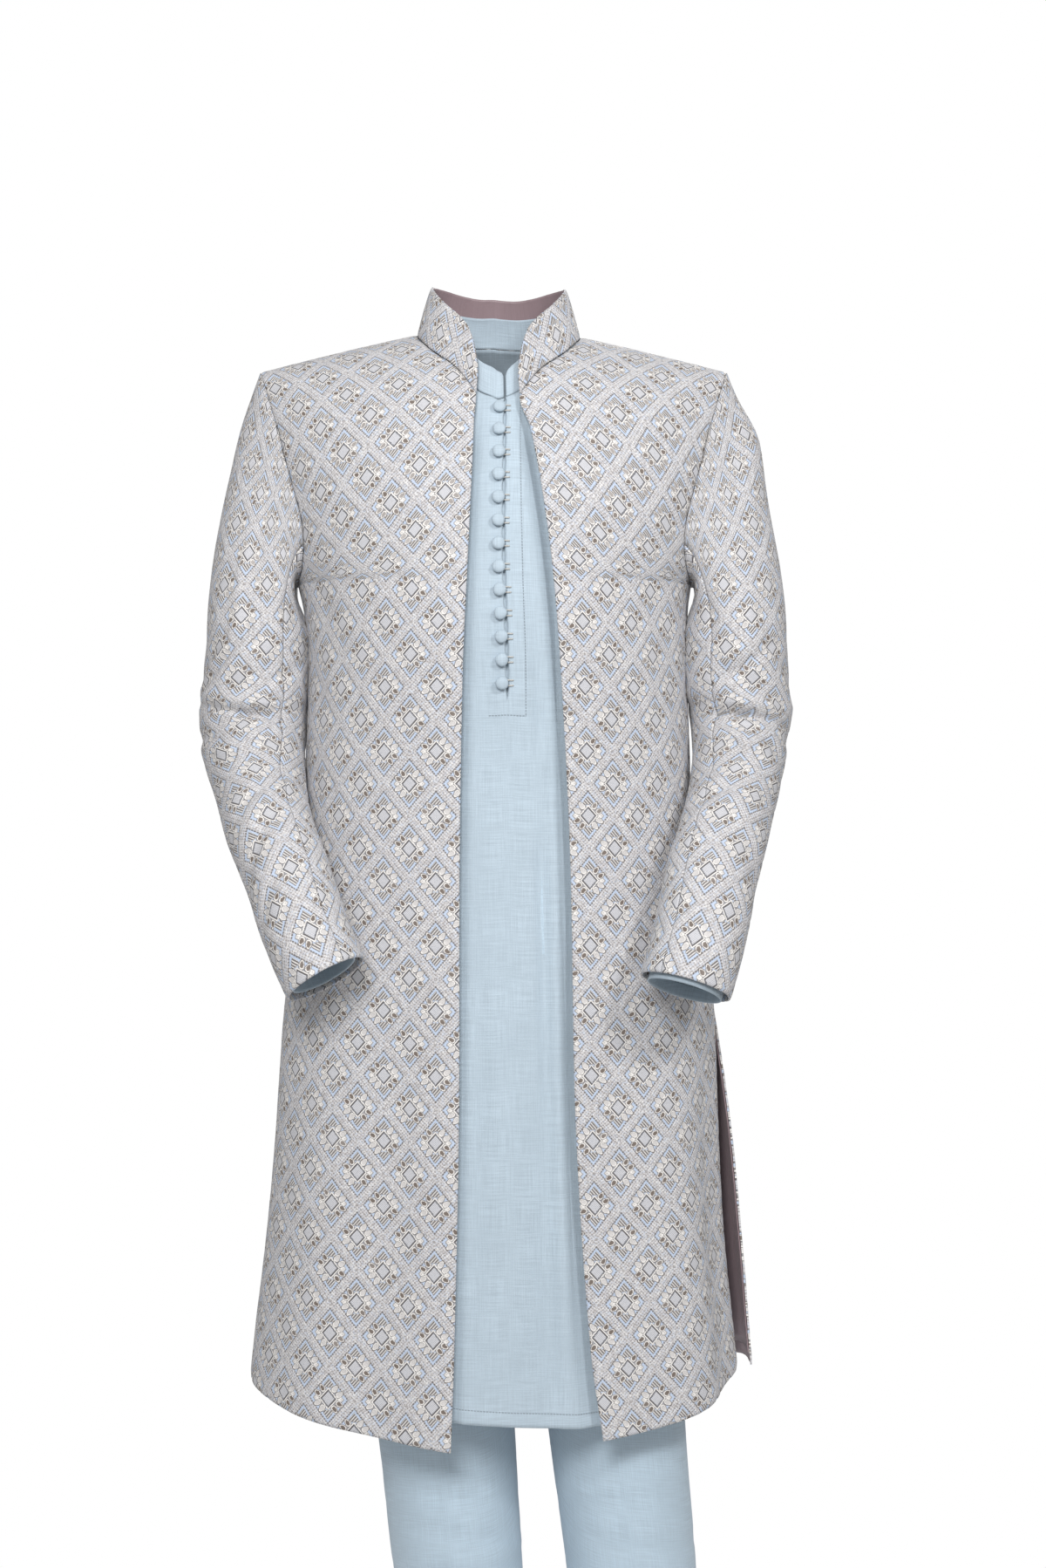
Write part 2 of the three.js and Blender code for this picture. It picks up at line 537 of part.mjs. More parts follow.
// Sleeves: rings that start on the armhole, swing over into the first section and follow the arm.
function sleeveGrid(garment, table, side, rows, { steps: count, cap, thin, past = 0, folds = [] }) {
  const last = table.length - 1;
  const arm = columns(table.map((row, i) => ({ ...row, i })), "i", Object.keys(table[0]));
  const around = [
    ...rows.map((row) => ({ row, front: true })),
    ...rows.slice(1, -1).reverse().map((row) => ({ row, front: false })),
  ];
  const sectionPoint = (i, psi) => {
    const at = Object.fromEntries(Object.entries(arm).map(([key, value]) => [key, value(i)]));
    const n = new THREE.Vector3(-Math.tan(at.lean * RAD), -Math.tan(at.pitch * RAD), -1).normalize();
    const u = new THREE.Vector3(Math.cos(at.lean * RAD), 0, -Math.sin(at.lean * RAD));
    const v = n.clone().cross(u).normalize();
    let out = -thin;
    for (const fold of folds) {
      const off = psi / RAD - fold.around;
      const slant = fold.slant * off;
      out += fold.depth * Math.exp(-(((at.z - fold.z - slant) / fold.width) ** 2) - (off / fold.reach) ** 2);
    }
    const centre = new THREE.Vector3(at.x, at.y, at.z).addScaledVector(n, past * clamp(i - last + 1));
    return centre
      .addScaledVector(u, (at.across + out) * Math.cos(psi))
      .addScaledVector(v, (at.deep + out) * Math.sin(psi));
  };
  const first = new THREE.Vector3(0, 0, -1);
  const points = around.map(({ row, front }) => {
    const share = Math.sin(YOKE[row].rise * RAD) ** ROUND;
    const psi = Math.acos(2 * share - 1) * (front ? 1 : -1);
    const start = armhole(garment, row, side, front);
    if (row === rows[rows.length - 1]) start.y = 0;
    const inward = ARMHOLE_CENTRE.clone().sub(start).setX(0).normalize();
    start.x = start.x * side + SLEEVE_GAP;
    start.z += garment.raise * (1 - share);
    start.addScaledVector(inward, -garment.flare);
    const end = sectionPoint(0, psi);
    const out = mix(UNDERARM_SWING.out, SHOULDER_SWING.out, share) + mix(...garment.leave, share);
    const up = mix(UNDERARM_SWING.up, SHOULDER_SWING.up, share);
    const swing = new THREE.Vector3(out, 0, up).addScaledVector(inward, mix(...garment.draw, share));
    const path = new THREE.CubicBezierCurve3(
      start,
      start.clone().add(swing),
      end.clone().addScaledVector(first, -mix(UNDERARM_REACH, SHOULDER_REACH, share)),
      end,
    );
    const upper = steps(cap).slice(0, -1).map((t) => path.getPoint(t));
    const lower = steps(count - cap).map((t) => sectionPoint(t * last, psi));
    return [...upper, ...lower].map((p) => new THREE.Vector3(p.x * side, p.y, p.z));
  });
  return points[0].map((_, i) => points.map((line) => line[i]));
}
// The same rings, moved in along the cloth's own normals by the thickness of the wall; the first stays in the
// armhole's plane.
function inside(outer, thick, round) {
  const rows = outer.length;
  const cols = outer[0].length;
  const held = (k, count) => Math.min(count - 1, Math.max(0, k));
  const at = (i, j) => outer[held(i, rows)][round ? (j + cols) % cols : held(j, cols)];
  const centres = outer.map((row) => row.reduce((sum, p) => sum.add(p), new THREE.Vector3()).divideScalar(cols));
  return outer.map((row, i) => row.map((p, j) => {
    const down = at(i + 1, j).clone().sub(at(i - 1, j)).normalize();
    const across = at(i, j + 1).clone().sub(at(i, j - 1)).normalize();
    const normal = down.cross(across);
    if (i === 0) normal.setX(0);
    normal.normalize();
    return p.clone().addScaledVector(normal, normal.dot(centres[i].clone().sub(p)) > 0 ? thick : -thick);
  }));
}
const SLEEVES = [["right", -1, RIGHT_SLEEVE], ["left", 1, LEFT_SLEEVE]];
const yokeRows = YOKE.map((row, i) => i);
const coatSleeve = { steps: SLEEVE_STEPS, cap: CAP_STEPS, thin: 0, folds: SLEEVE_FOLDS };
for (const [name, side, table] of SLEEVES) {
  const outer = sleeveGrid(coat, table, side, yokeRows, coatSleeve);
  const inner = inside(outer, COAT_WALL, true);
  const count = outer[0].length;
  const backSeam = count - BACK_SEAM_ROW;
  const order = [...spaced(backSeam, count - 1, BACK_SEAM_ROW - 1), ...spaced(0, FRONT_SEAM_ROW, FRONT_SEAM_ROW)];
  const under = (row) => seamed(order.map((k) => row[k]));
  const upper = (row) => seamed(row.slice(FRONT_SEAM_ROW, backSeam + 1));
  sew("coat_sleeve_" + name + "_upper", wall(outer.map(upper), inner.map(upper)), "brocade");
  sew("coat_sleeve_" + name + "_under", wall(outer.map(under), inner.map(under)), "brocade");
}
// A row whose two ends are drawn in by half a seam.
function seamed(row) {
  const last = row.length - 1;
  const pull = (p, q) => p.clone().add(q.clone().sub(p).setLength(SEAM / 2));
  return row.map((p, i) => (i === 0 ? pull(p, row[1]) : i === last ? pull(p, row[last - 1]) : p));
}

// Kurta body: the front has a slit with a facing under it, the back is one piece.
const KURTA_LEVELS = [-296, SLIT_END, FACING_END, -430, -520, -610, -700, -800, -905, KURTA_FOOT];
const kurtaHem = column(KURTA_HEM, "turn", "z");
const kurtaFrontPlaces = [
  ...outwards(NECK_SHIFT - 68, -1, SIDE_COLUMNS).reverse(),
  NECK_SHIFT - 58,
  NECK_SHIFT - 42,
  NECK_SHIFT - 22,
  SLIT_PLACE - FACING_HALF,
  SLIT_PLACE - SLIT_HALF,
  SLIT_PLACE + SLIT_HALF,
  SLIT_PLACE + FACING_HALF,
  NECK_SHIFT + 42,
  NECK_SHIFT + 58,
  ...outwards(NECK_SHIFT + 68, 1, SIDE_COLUMNS),
];
const SLIT_COLUMN = kurtaFrontPlaces.indexOf(SLIT_PLACE - SLIT_HALF);
const kurtaFront = {
  front: true,
  places: kurtaFrontPlaces,
  neck: KURTA_FRONT_NECK,
  rows: ALL_ROWS,
  levels: KURTA_LEVELS,
  foot: KURTA_FOOT,
  hem: kurtaHem,
};
const rowOf = (level) => ALL_ROWS.length + KURTA_LEVELS.indexOf(level);
const slitCell = (i, j) => j === SLIT_COLUMN && i < rowOf(SLIT_END);
sew("kurta_front", panelWall(kurta, kurtaFront, KURTA_WALL, slitCell), "kurta");
const kurtaBack = {
  ...kurtaFront,
  front: false,
  places: backPlaces(KURTA_BACK_NECK, SIDE_COLUMNS),
  neck: KURTA_BACK_NECK,
};
sew("kurta_back", panelWall(kurta, kurtaBack, KURTA_WALL), "kurta");
const facing = {
  ...kurtaFront,
  places: kurtaFrontPlaces.slice(SLIT_COLUMN - 1, SLIT_COLUMN + 3),
  levels: KURTA_LEVELS.slice(0, 3),
  extra: KURTA_WALL + REST,
};
sew("kurta_placket", panelWall(kurta, facing, KURTA_WALL), "kurta");

// Kurta collar: a band whose two ends stand at the slit.
const kurtaFrontTop = acrossGrid(kurta, kurtaFront)[0];
const kurtaBackTop = acrossGrid(kurta, kurtaBack)[0];
collar(
  "kurta_collar",
  [
    ...kurtaFrontTop.slice(SIDE_COLUMNS, SLIT_COLUMN + 1).reverse(),
    ...kurtaBackTop.slice(SIDE_COLUMNS + 1, -SIDE_COLUMNS - 1),
    ...kurtaFrontTop.slice(SLIT_COLUMN + 1, -SIDE_COLUMNS).reverse(),
  ],
  {
    height: KURTA_COLLAR_HEIGHT,
    endHeight: KURTA_COLLAR_END,
    rounding: KURTA_COLLAR_ROUNDING,
    close: (COLLAR_CLOSE * KURTA_COLLAR_HEIGHT) / COAT_COLLAR_HEIGHT,
    thick: KURTA_WALL,
    kind: "kurta",
  },
);

// Kurta sleeves: plain tubes inside the coat's.
for (const [name, side, table] of SLEEVES) {
  const past = side > 0 ? KURTA_CUFF_PAST : -KURTA_CUFF_PAST;
  const shape = { steps: KURTA_SLEEVE_STEPS, cap: KURTA_CAP_STEPS, thin: KURTA_SLEEVE_THIN, past };
  const outer = sleeveGrid(kurta, table, side, yokeRows, shape);
  const inner = inside(outer, KURTA_WALL, true);
  sew("kurta_sleeve_" + name, wall(outer, inner, { round: true }), "kurta");
}

// Covered buttons on their shanks, each held by a loop from across the slit.
const slitX = (z) => {
  const up = clamp((z - CHEST_LEVEL) / (NECK_RISE - CHEST_LEVEL)) ** (1 / ROUND);
  const arm = yoke.armFront(Math.asin(up) / RAD);
  const middle = z < CHEST_LEVEL ? body.shift(z) : BODY[0].shift * (1 - up);
  return middle + (SLIT_PLACE / SHOULDER_HALF) * (z < CHEST_LEVEL ? body.half(z) : arm);
};
// The place on the kurta's faceted front at x on a level, and which way it faces.
const kurtaFace = acrossGrid(kurta, kurtaFront).map((row) => row.slice(SLIT_COLUMN - 1, SLIT_COLUMN + 3));
const between = (list, key, at) => {
  const i = list.findIndex((p, k) => k < list.length - 1 && (p[key] - at) * (list[k + 1][key] - at) <= 0);
  return list[i].clone().lerp(list[i + 1], (at - list[i][key]) / (list[i + 1][key] - list[i][key]));
};
const onFace = (x, z) => between(kurtaFace.map((row) => between(row, "x", x)), "z", z);
function seat(x, z) {
  const across = onFace(x + 2, z).sub(onFace(x - 2, z));
  const down = onFace(x, z - 2).sub(onFace(x, z + 2));
  return { point: onFace(x, z), normal: down.cross(across).normalize() };
}
function cord(points, radius) {
  const rings = points.map((p, i) => {
    const along = points[Math.min(i + 1, points.length - 1)].clone().sub(points[Math.max(i - 1, 0)]).normalize();
    const side = along.clone().cross(new THREE.Vector3(0, -1, 0)).normalize();
    const rise = side.clone().cross(along);
    return steps(4).slice(0, -1).map((t) => {
      const turn = (t + 0.125) * 2 * Math.PI;
      return p.clone().addScaledVector(side, radius * Math.cos(turn)).addScaledVector(rise, radius * Math.sin(turn));
    });
  });
  const faces = [];
  const at = (i, j) => 4 * i + (j % 4);
  const quad = (a, b, c, d) => faces.push(a, b, c, a, c, d);
  for (let i = 0; i < rings.length - 1; i++) {
    for (let j = 0; j < 4; j++) quad(at(i, j), at(i, j + 1), at(i + 1, j + 1), at(i + 1, j));
  }
  const end = rings.length - 1;
  quad(at(0, 3), at(0, 2), at(0, 1), at(0, 0));
  quad(at(end, 0), at(end, 1), at(end, 2), at(end, 3));
  return closed(rings.flat().flatMap((p) => [p.x, p.y, p.z]), faces);
}
for (let k = 0; k < BUTTON_COUNT; k++) {
  const z = BUTTON_TOP - k * BUTTON_STEP;
  const x = slitX(z) + BUTTON_SET;
  const { point, normal } = seat(x, z);
  const outline = BUTTON_OUTLINE.map(([r, h]) => new THREE.Vector2(r, h));
  const button = sew("button_" + (k + 1), new THREE.LatheGeometry(outline, BUTTON_SIDES), "kurta");
  button.quaternion.setFromUnitVectors(new THREE.Vector3(0, 1, 0), normal);
  button.position.copy(point).addScaledVector(normal, SEAM);
  const lift = SEAM + LOOP_RADIUS;
  const route = [
    [LOOP_ROOT - BUTTON_SET, 0.9],
    [2.2, 1],
    [-0.6, 1],
    [-2.5, 0],
    [-0.6, -1],
    [2.2, -1],
    [LOOP_ROOT - BUTTON_SET, -0.9],
  ].map(([along, across]) => {
    const place = seat(x + along, z + across * LOOP_WIDE);
    return place.point.addScaledVector(place.normal, lift);
  });
  sew("loop_" + (k + 1), cord(route, LOOP_RADIUS), "thread");
}

// Trousers: a front and a back for each leg, and a waistband. The seat lies against the kurta.
const leg = columns(LEG, "z", ["centre", "across", "deep", "y"]);
const SEAT_INSET = KURTA_EASE + KURTA_WALL + 1.6;
const SEAT_CLEAR = 0.9; // the seat's facets keep this much further in than the waistband
function legPoint(side, front, z, share, inset) {
  const way = front ? -1 : 1;
  const turn = mix(LEG_SEAM, 180 - LEG_SEAM, share) * RAD;
  const line = LEG_LINE + LEG_LEAN * Math.max(0, CROTCH - z);
  const out = leg.centre(z) - (leg.across(z) - inset) * Math.cos(turn);
  const low = new THREE.Vector3(line + side * out, leg.y(z) + way * (leg.deep(z) - inset) * Math.sin(turn), z);
  const round = side * mix(LEG_SEAM, 90 - LEG_SEAM / 2, share) * RAD;
  const high = ringPoint(z, front ? round : Math.PI - round, SEAT_INSET + SEAT_CLEAR + inset);
  return low.lerp(high, smooth((z - CROTCH) / (HIP - CROTCH)));
}
for (const [name, side] of [["right", -1], ["left", 1]]) {
  for (const front of [true, false]) {
    const grid = (inset) => LEG_LEVELS.map((z) =>
      steps(LEG_COLUMNS).map((share) => legPoint(side, front, z, share, inset)),
    );
    sew("trouser_" + name + (front ? "_front" : "_back"), wall(grid(0), grid(TROUSER_WALL)), "trouser");
  }
}
const bandRing = (inset) => [BAND_TOP, BAND_FOOT].map((z) =>
  steps(BAND_COLUMNS).slice(0, -1).map((t) => ringPoint(z, t * 2 * Math.PI, SEAT_INSET + inset)),
);
sew("trouser_waistband", wall(bandRing(0), bandRing(BAND_WALL), { round: true }), "trouser");

export default set;
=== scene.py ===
"""A man's three-piece set as it is worn: an open embroidered long coat over a kurta and slim trousers.

Sizes are millimetres until a mesh is made, +Z is up, +X the wearer's left, and the fronts face -Y.
Every piece of cloth is a surface of two parameters, with its place on the flat cut kept as its UV map,
in metres, so that weave and embroidery run with the cloth.
"""
import math

import bmesh
import bpy
import numpy as np
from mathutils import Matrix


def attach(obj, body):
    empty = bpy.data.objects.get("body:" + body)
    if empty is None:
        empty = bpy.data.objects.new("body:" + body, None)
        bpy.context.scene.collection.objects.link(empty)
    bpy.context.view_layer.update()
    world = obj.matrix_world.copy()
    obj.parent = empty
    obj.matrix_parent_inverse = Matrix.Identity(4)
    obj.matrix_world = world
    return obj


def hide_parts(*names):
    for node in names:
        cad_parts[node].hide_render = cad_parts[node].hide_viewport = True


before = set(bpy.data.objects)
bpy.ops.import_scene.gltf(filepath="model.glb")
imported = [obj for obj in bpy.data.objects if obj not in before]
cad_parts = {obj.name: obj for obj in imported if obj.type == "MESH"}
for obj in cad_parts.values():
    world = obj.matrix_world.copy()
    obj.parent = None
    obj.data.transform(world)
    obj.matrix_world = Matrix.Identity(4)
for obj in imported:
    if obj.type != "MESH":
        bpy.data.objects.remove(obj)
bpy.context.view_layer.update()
MM = 0.001

# Driving sizes of the set.
CHEST_LEVEL = -240.0  # bottom of the armholes
SHOULDER_HALF = 223.0
DOME_HALF = 240.0
SHOULDER_DROP = 36.0
NECK_RISE = 12.0
ROUND = 0.909  # power that rounds the chest over into the shoulder line
SEAM = 0.35
REST = 0.6
COAT_WALL = 1.6
KURTA_WALL = 1.0
KURTA_EASE = 6.5
COAT_FOOT = -1037.0
SLIT_TOP = -640.0
WAVES_FROM = -430.0
NECK_SHIFT = 5.0
NECK_REACH = 80.0

# Rings of the coat's body: level, half width, depth before and behind, shift to the left.
BODY = np.array([
    (-240, 187, 138, 122, 1), (-262, 183, 138, 121, 2), (-300, 180.5, 135, 117, 3.5), (-350, 181, 128, 110, 4),
    (-400, 183, 122, 107, 4), (-460, 184.5, 119, 112, 4), (-520, 189, 118, 120, 4), (-600, 200, 119, 127, 4),
    (-662, 207, 122, 130, 4), (-780, 217, 127, 131, 4), (-860, 225, 130, 132, 4), (-940, 234, 134, 134, 4),
    (-1040, 244, 138, 138, 4),
])
# Upright waves of the skirt: count round the body, depth at the hem, phase.
SKIRT_WAVES = ((7, 3.2, 0.6), (11, 1.8, 2.1))
# How far the panels stand out at the side below the slit tops, by level.
SLIT_SPREAD = {
    "frontLeft": ((-640, 0), (-762, -7), (-862, -12), (-955, -13), (-1040, -12)),
    "backLeft": ((-640, 0), (-762, 6), (-862, 5), (-955, 2), (-1040, 1)),
    "kurtaLeft": ((-640, 0), (-762, -11), (-862, -15), (-955, -15), (-1040, -15)),
    "frontRight": ((-640, 0), (-762, -1), (-862, -1), (-955, 0), (-1040, 0)),
    "backRight": ((-640, 0), (-762, -6), (-862, -8), (-955, -8), (-1040, -8)),
    "kurtaRight": ((-640, 0), (-762, -10), (-862, -12), (-955, -12), (-1040, -12)),
}
# Hems by degrees from the centre front, and the coat's front edges by level.
COAT_HEM = ((0, -1037), (35, -1019), (60, -1002), (90, -983), (100, -977), (135, -992), (180, -1002))
KURTA_FOOT = -1009.0
KURTA_HEM = (
    (-180, -984), (-90, -962), (-40, -995), (-14, -1006), (38, -1014), (62, -988), (90, -962), (180, -984),
)
RIGHT_EDGE = (
    (-30, -14), (-66, -16), (-130, -18), (-221, -22), (-330, -27), (-508, -30), (-747, -30), (-955, -34),
    (-1040, -37),
)
LEFT_EDGE = (
    (-30, 24), (-66, 28), (-130, 41), (-221, 54), (-330, 63), (-508, 72), (-747, 77), (-955, 91), (-1040, 103),
)
# Rise from the chest (0) to the shoulder line (90), with the armhole's place before and behind.
ARMHOLE = np.array([
    (0, 187, 187), (3, 181, 184), (8, 178, 183), (14, 180, 185), (23, 188, 190), (32, 196, 197),
    (41, 202, 203), (51, 209, 209), (62, 215, 215), (75, 220, 220), (90, 223, 223),
])
NECKLINE = ((41, 20), (51, 39), (62, 63), (75, 76), (90, 76))
NECK_START = (32.0, 41.0)  # the front edge runs over into the neckline between these rises
BACK_NECK = ((0, 68), (22, 69.5), (44, 74), (62, 81), (76, 90))
KURTA_FRONT_NECK = ((0, 40.5), (22, 44.5), (42, 53), (58, 66), (68, 90))
KURTA_BACK_NECK = ((0, 71), (26, 73), (50, 79), (68, 90))
# Sleeve sections: x outwards, y, z, half sizes across and deep, pitch forwards, lean inwards.
SECTIONS = {
    "right": np.array([
        (228, -6, -290, 44.5, 62, 0, 0), (229, -5, -340, 48.5, 60, 3, 0), (229.5, -12, -388, 49.5, 56, 17, 6),
        (218.5, -40, -435, 42.5, 50, 30, 14), (206.5, -73, -472, 41, 47, 36, 17),
        (189, -102, -510, 40, 46, 34, 20), (169.5, -129, -560, 39.5, 46, 27, 25),
        (149, -150, -603, 39, 46, 14, 30),
    ], float),
    "left": np.array([
        (235, -6, -290, 43.5, 62, 0, 0), (236.5, -5, -340, 45.5, 60, 3, 0),
        (236, -12.4, -388, 44.5, 56.5, 17, 5), (226, -40, -435, 41.5, 50, 30, 10),
        (214.5, -73, -472, 41.5, 47, 36, 12), (201, -102, -512, 42.5, 46, 34, 14),
        (188.5, -129, -563, 42, 46, 27, 16), (174, -150, -610, 42, 46, 14, 17),
    ], float),
}
# Folds of the sleeves: level, place round the arm, width, reach round, depth, slant.
SLEEVE_FOLDS = [
    (-296, 60, 11, 60, -2.6, 0.7), (-340, 80, 10, 55, -3.0, 0.5), (-377, 95, 9, 65, -5.0, 0.2),
    (-404, 95, 10, 55, 3.0, 0.1), (-428, 110, 9, 60, -4.0, -0.2), (-500, 60, 14, 60, -1.8, 0.4),
]
SLEEVE_GAP = 0.2  # from a body's armhole to the sleeve's first ring
ARMHOLE_CENTRE = np.array([0.0, 0.0, -150.0])
UNDERARM_SWING, SHOULDER_SWING = (13.0, 2.0), (26.0, -80.0)  # how far a sleeve goes out and up from the armhole
UNDERARM_REACH, SHOULDER_REACH = 18.0, 80.0  # and over what height it comes down into its first section
FRONT_SEAM_TURN = 131.9  # where the sleeve's two seams lie round the arm, in degrees
BACK_SEAM_TURN = 98.5
RAD = math.pi / 180


def mix(a, b, t):
    return a + (b - a) * t


def smooth(t):
    """3t2 - 2t3 between 0 and 1."""
    t = np.clip(t, 0, 1)
    return t * t * (3 - 2 * t)


def bell(t):
    return np.exp(-(t * t))


def unit(vectors):
    """Vectors to length one."""
    return vectors / np.linalg.norm(vectors, axis=-1, keepdims=True)


def curve(rows, column=1):
    """A table's column as a cubic through its rows, whose slope at a row is that of the line joining its
    neighbours."""
    rows = np.array(sorted(map(tuple, rows)), float)
    x, y = rows[:, 0], rows[:, column]
    last = len(x) - 1
    before, after = np.maximum(np.arange(last + 1) - 1, 0), np.minimum(np.arange(last + 1) + 1, last)
    slope = (y[after] - y[before]) / (x[after] - x[before])

    def at(q):
        q = np.clip(q, x[0], x[-1])
        i = np.clip(np.searchsorted(x, q) - 1, 0, last - 1)
        span = x[i + 1] - x[i]
        t = (q - x[i]) / span
        return mix(y[i], y[i + 1], smooth(t)) + t * (1 - t) * span * ((1 - t) * slope[i] - t * slope[i + 1])

    return at


half_at, front_at, back_at, shift_at = (curve(BODY, k) for k in (1, 2, 3, 4))
spread_at = {name: curve(rows) for name, rows in SLIT_SPREAD.items()}
coat_hem_curve, kurta_hem = curve(COAT_HEM), curve(KURTA_HEM)
edge_at = {-1: curve(RIGHT_EDGE), 1: curve(LEFT_EDGE)}
arm_front, arm_back, neck_at = curve(ARMHOLE, 1), curve(ARMHOLE, 2), curve(NECKLINE)


def coat_hem(turn):
    return coat_hem_curve(np.abs(turn))


def shoulder_line(x):
    """Falls from the neck's rise to the shoulder's drop with the 1.15 power of the distance out."""
    return NECK_RISE - (SHOULDER_DROP + NECK_RISE) * (np.abs(x) / SHOULDER_HALF) ** 1.15


def ring_point(z, angle, inset=0.0, panel=None):
    """The body at a level and an angle from the centre front: an ellipse of half width and depth, pushed out by
    the skirt's waves, which grow down from the waist, and by the slit's spread times the sixth power of the
    sine."""
    z, angle = np.broadcast_arrays(np.asarray(z, float), np.asarray(angle, float))
    s, c = np.sin(angle), np.cos(angle)
    deep = np.where(c > 0, front_at(z), back_at(z)) - inset
    out = sum(depth * np.cos(count * angle + phase) for count, depth, phase in SKIRT_WAVES)
    out = out * smooth((WAVES_FROM - z) / 500)
    if panel:
        spread = np.where(s > 0, spread_at[panel + "Left"](z), spread_at[panel + "Right"](z))
        out = out + np.where(z < SLIT_TOP, spread * s**6, 0)
    return np.stack([shift_at(z) + (half_at(z) - inset + out) * s, -(deep + out) * c, z], -1)


def yoke_point(rise, x, front, inset=0.0):
    """The shoulders: over the chest's half ellipse, depth fades with cos(rise) and height grows with sin(rise),
    both to the power that rounds the chest over, up to the shoulder line."""
    rise, x = np.broadcast_arrays(np.asarray(rise, float), np.asarray(x, float))
    up = np.sin(rise * RAD)
    half = mix(BODY[0, 1], DOME_HALF, up)
    middle = BODY[0, 4] * (1 - up)
    s = np.clip(np.abs(x - middle) / half, 0, 1)
    deep = BODY[0, 2 if front else 3] - inset
    y = np.maximum(deep * np.sqrt(1 - s * s) * np.abs(np.cos(rise * RAD)) ** ROUND, SEAM / 2)
    across = middle + np.sign(x - middle) * s * (half - inset * (1 - up))
    z = CHEST_LEVEL + (shoulder_line(x) - inset - CHEST_LEVEL) * up**ROUND
    return np.stack([across, -y if front else y, z], -1)


class Garment:
    """What sets the coat and the kurta apart: how deep the outer face lies inside the coat's at the chest and
    at the shoulder, and how a sleeve's first ring is widened and lifted, drawn in and sent out."""

    def __init__(self, panels, neck_ease, insets, flare, lift, draw, leave):
        self.panels, self.neck_ease, self.at_chest, self.at_shoulder = panels, neck_ease, *insets
        self.flare, self.lift, self.draw, self.leave = flare, lift, draw, leave

    def inset(self, rise):
        return mix(self.at_chest, self.at_shoulder, smooth(np.sin(rise * RAD) ** 8))


COAT = Garment(("front", "back"), 0, (0, 0), 0.2, 0, (0, 0), (0, 0))
KURTA = Garment(("kurta", "kurta"), 2.6, (KURTA_EASE, 1.8 + REST), 0, 0.9, (26, 5.2), (14, -6))


def across_grid(garment, front, places, neck, rises, levels, foot, hem, extra=0.0):
    """A panel from armhole to armhole: yoke rows, whose columns under the neckline end at the neckline's rise,
    and then levels down to the hem. Columns are named by their place on the shoulder line."""
    top, neck_end = curve(neck), neck[-1][0]
    arm = arm_front if front else arm_back
    share = places / SHOULDER_HALF
    off = np.abs(places - NECK_SHIFT)
    rise = np.asarray(rises, float)[:, None] * np.where(off < neck_end, top(off) / 90, 1)[None]
    middle = BODY[0, 4] * (1 - np.sin(rise * RAD))
    ease = np.where(off < NECK_REACH, garment.neck_ease, 0)[None] * np.sin(rise * RAD)
    yoke = yoke_point(rise, middle + share[None] * arm(rise), front, garment.inset(rise) + ease + extra)
    lean = np.minimum(90 - SEAM / 4.2, np.arcsin(np.clip(np.abs(share), 0, 1)) / RAD)
    turn = (lean if front else 180 - lean) * np.where(places < 0, -1, 1)
    down = (np.asarray(levels, float)[:, None] - CHEST_LEVEL) / (foot - CHEST_LEVEL)
    z = mix(CHEST_LEVEL, hem(turn)[None], down)
    skirt = ring_point(z, turn[None] * RAD, garment.at_chest + extra, garment.panels[0 if front else 1])
    return np.concatenate([yoke, skirt])


def coat_front_grid(side, rises, levels, columns):
    """A coat front: rows run from the front edge or the neckline out to the armhole or the side seam."""
    share = np.linspace(0, 1, columns)[None]
    rise = np.asarray(rises, float)[:, None]
    up = np.sin(rise * RAD)
    half, middle = mix(BODY[0, 1], DOME_HALF, up), BODY[0, 4] * (1 - up)
    edge = edge_at[side](mix(CHEST_LEVEL, NECK_RISE, up**ROUND))
    begun = smooth((rise - NECK_START[0]) / (NECK_START[1] - NECK_START[0]))
    inner = mix(edge, NECK_SHIFT + side * neck_at(rise), begun)
    start, end = np.arcsin((inner - middle) / half), np.arcsin(np.clip(arm_front(rise) / half, 0, 1)) * side
    yoke = yoke_point(rise, middle + half * np.sin(mix(start, end, share)), True)
    level = np.asarray(levels, float)[:, None]
    x = edge_at[side](level) - shift_at(level)
    start = np.arcsin(x / half_at(level))
    turn = mix(start, side * (90 - SEAM / 4.2) * RAD, share)
    z = mix(CHEST_LEVEL, coat_hem(turn / RAD), (level - CHEST_LEVEL) / (COAT_FOOT - CHEST_LEVEL))
    return np.concatenate([yoke, ring_point(z, turn, 0, "front")])


def yoke_rises(count):
    return 90 * (1 - np.linspace(0, 1, count))


def outwards(start, side, count):
    """Places from a neck point out to a shoulder tip, at even turns round the chest."""
    turn = np.linspace(math.asin(start / SHOULDER_HALF), side * math.pi / 2, count)
    return SHOULDER_HALF * np.sin(turn)


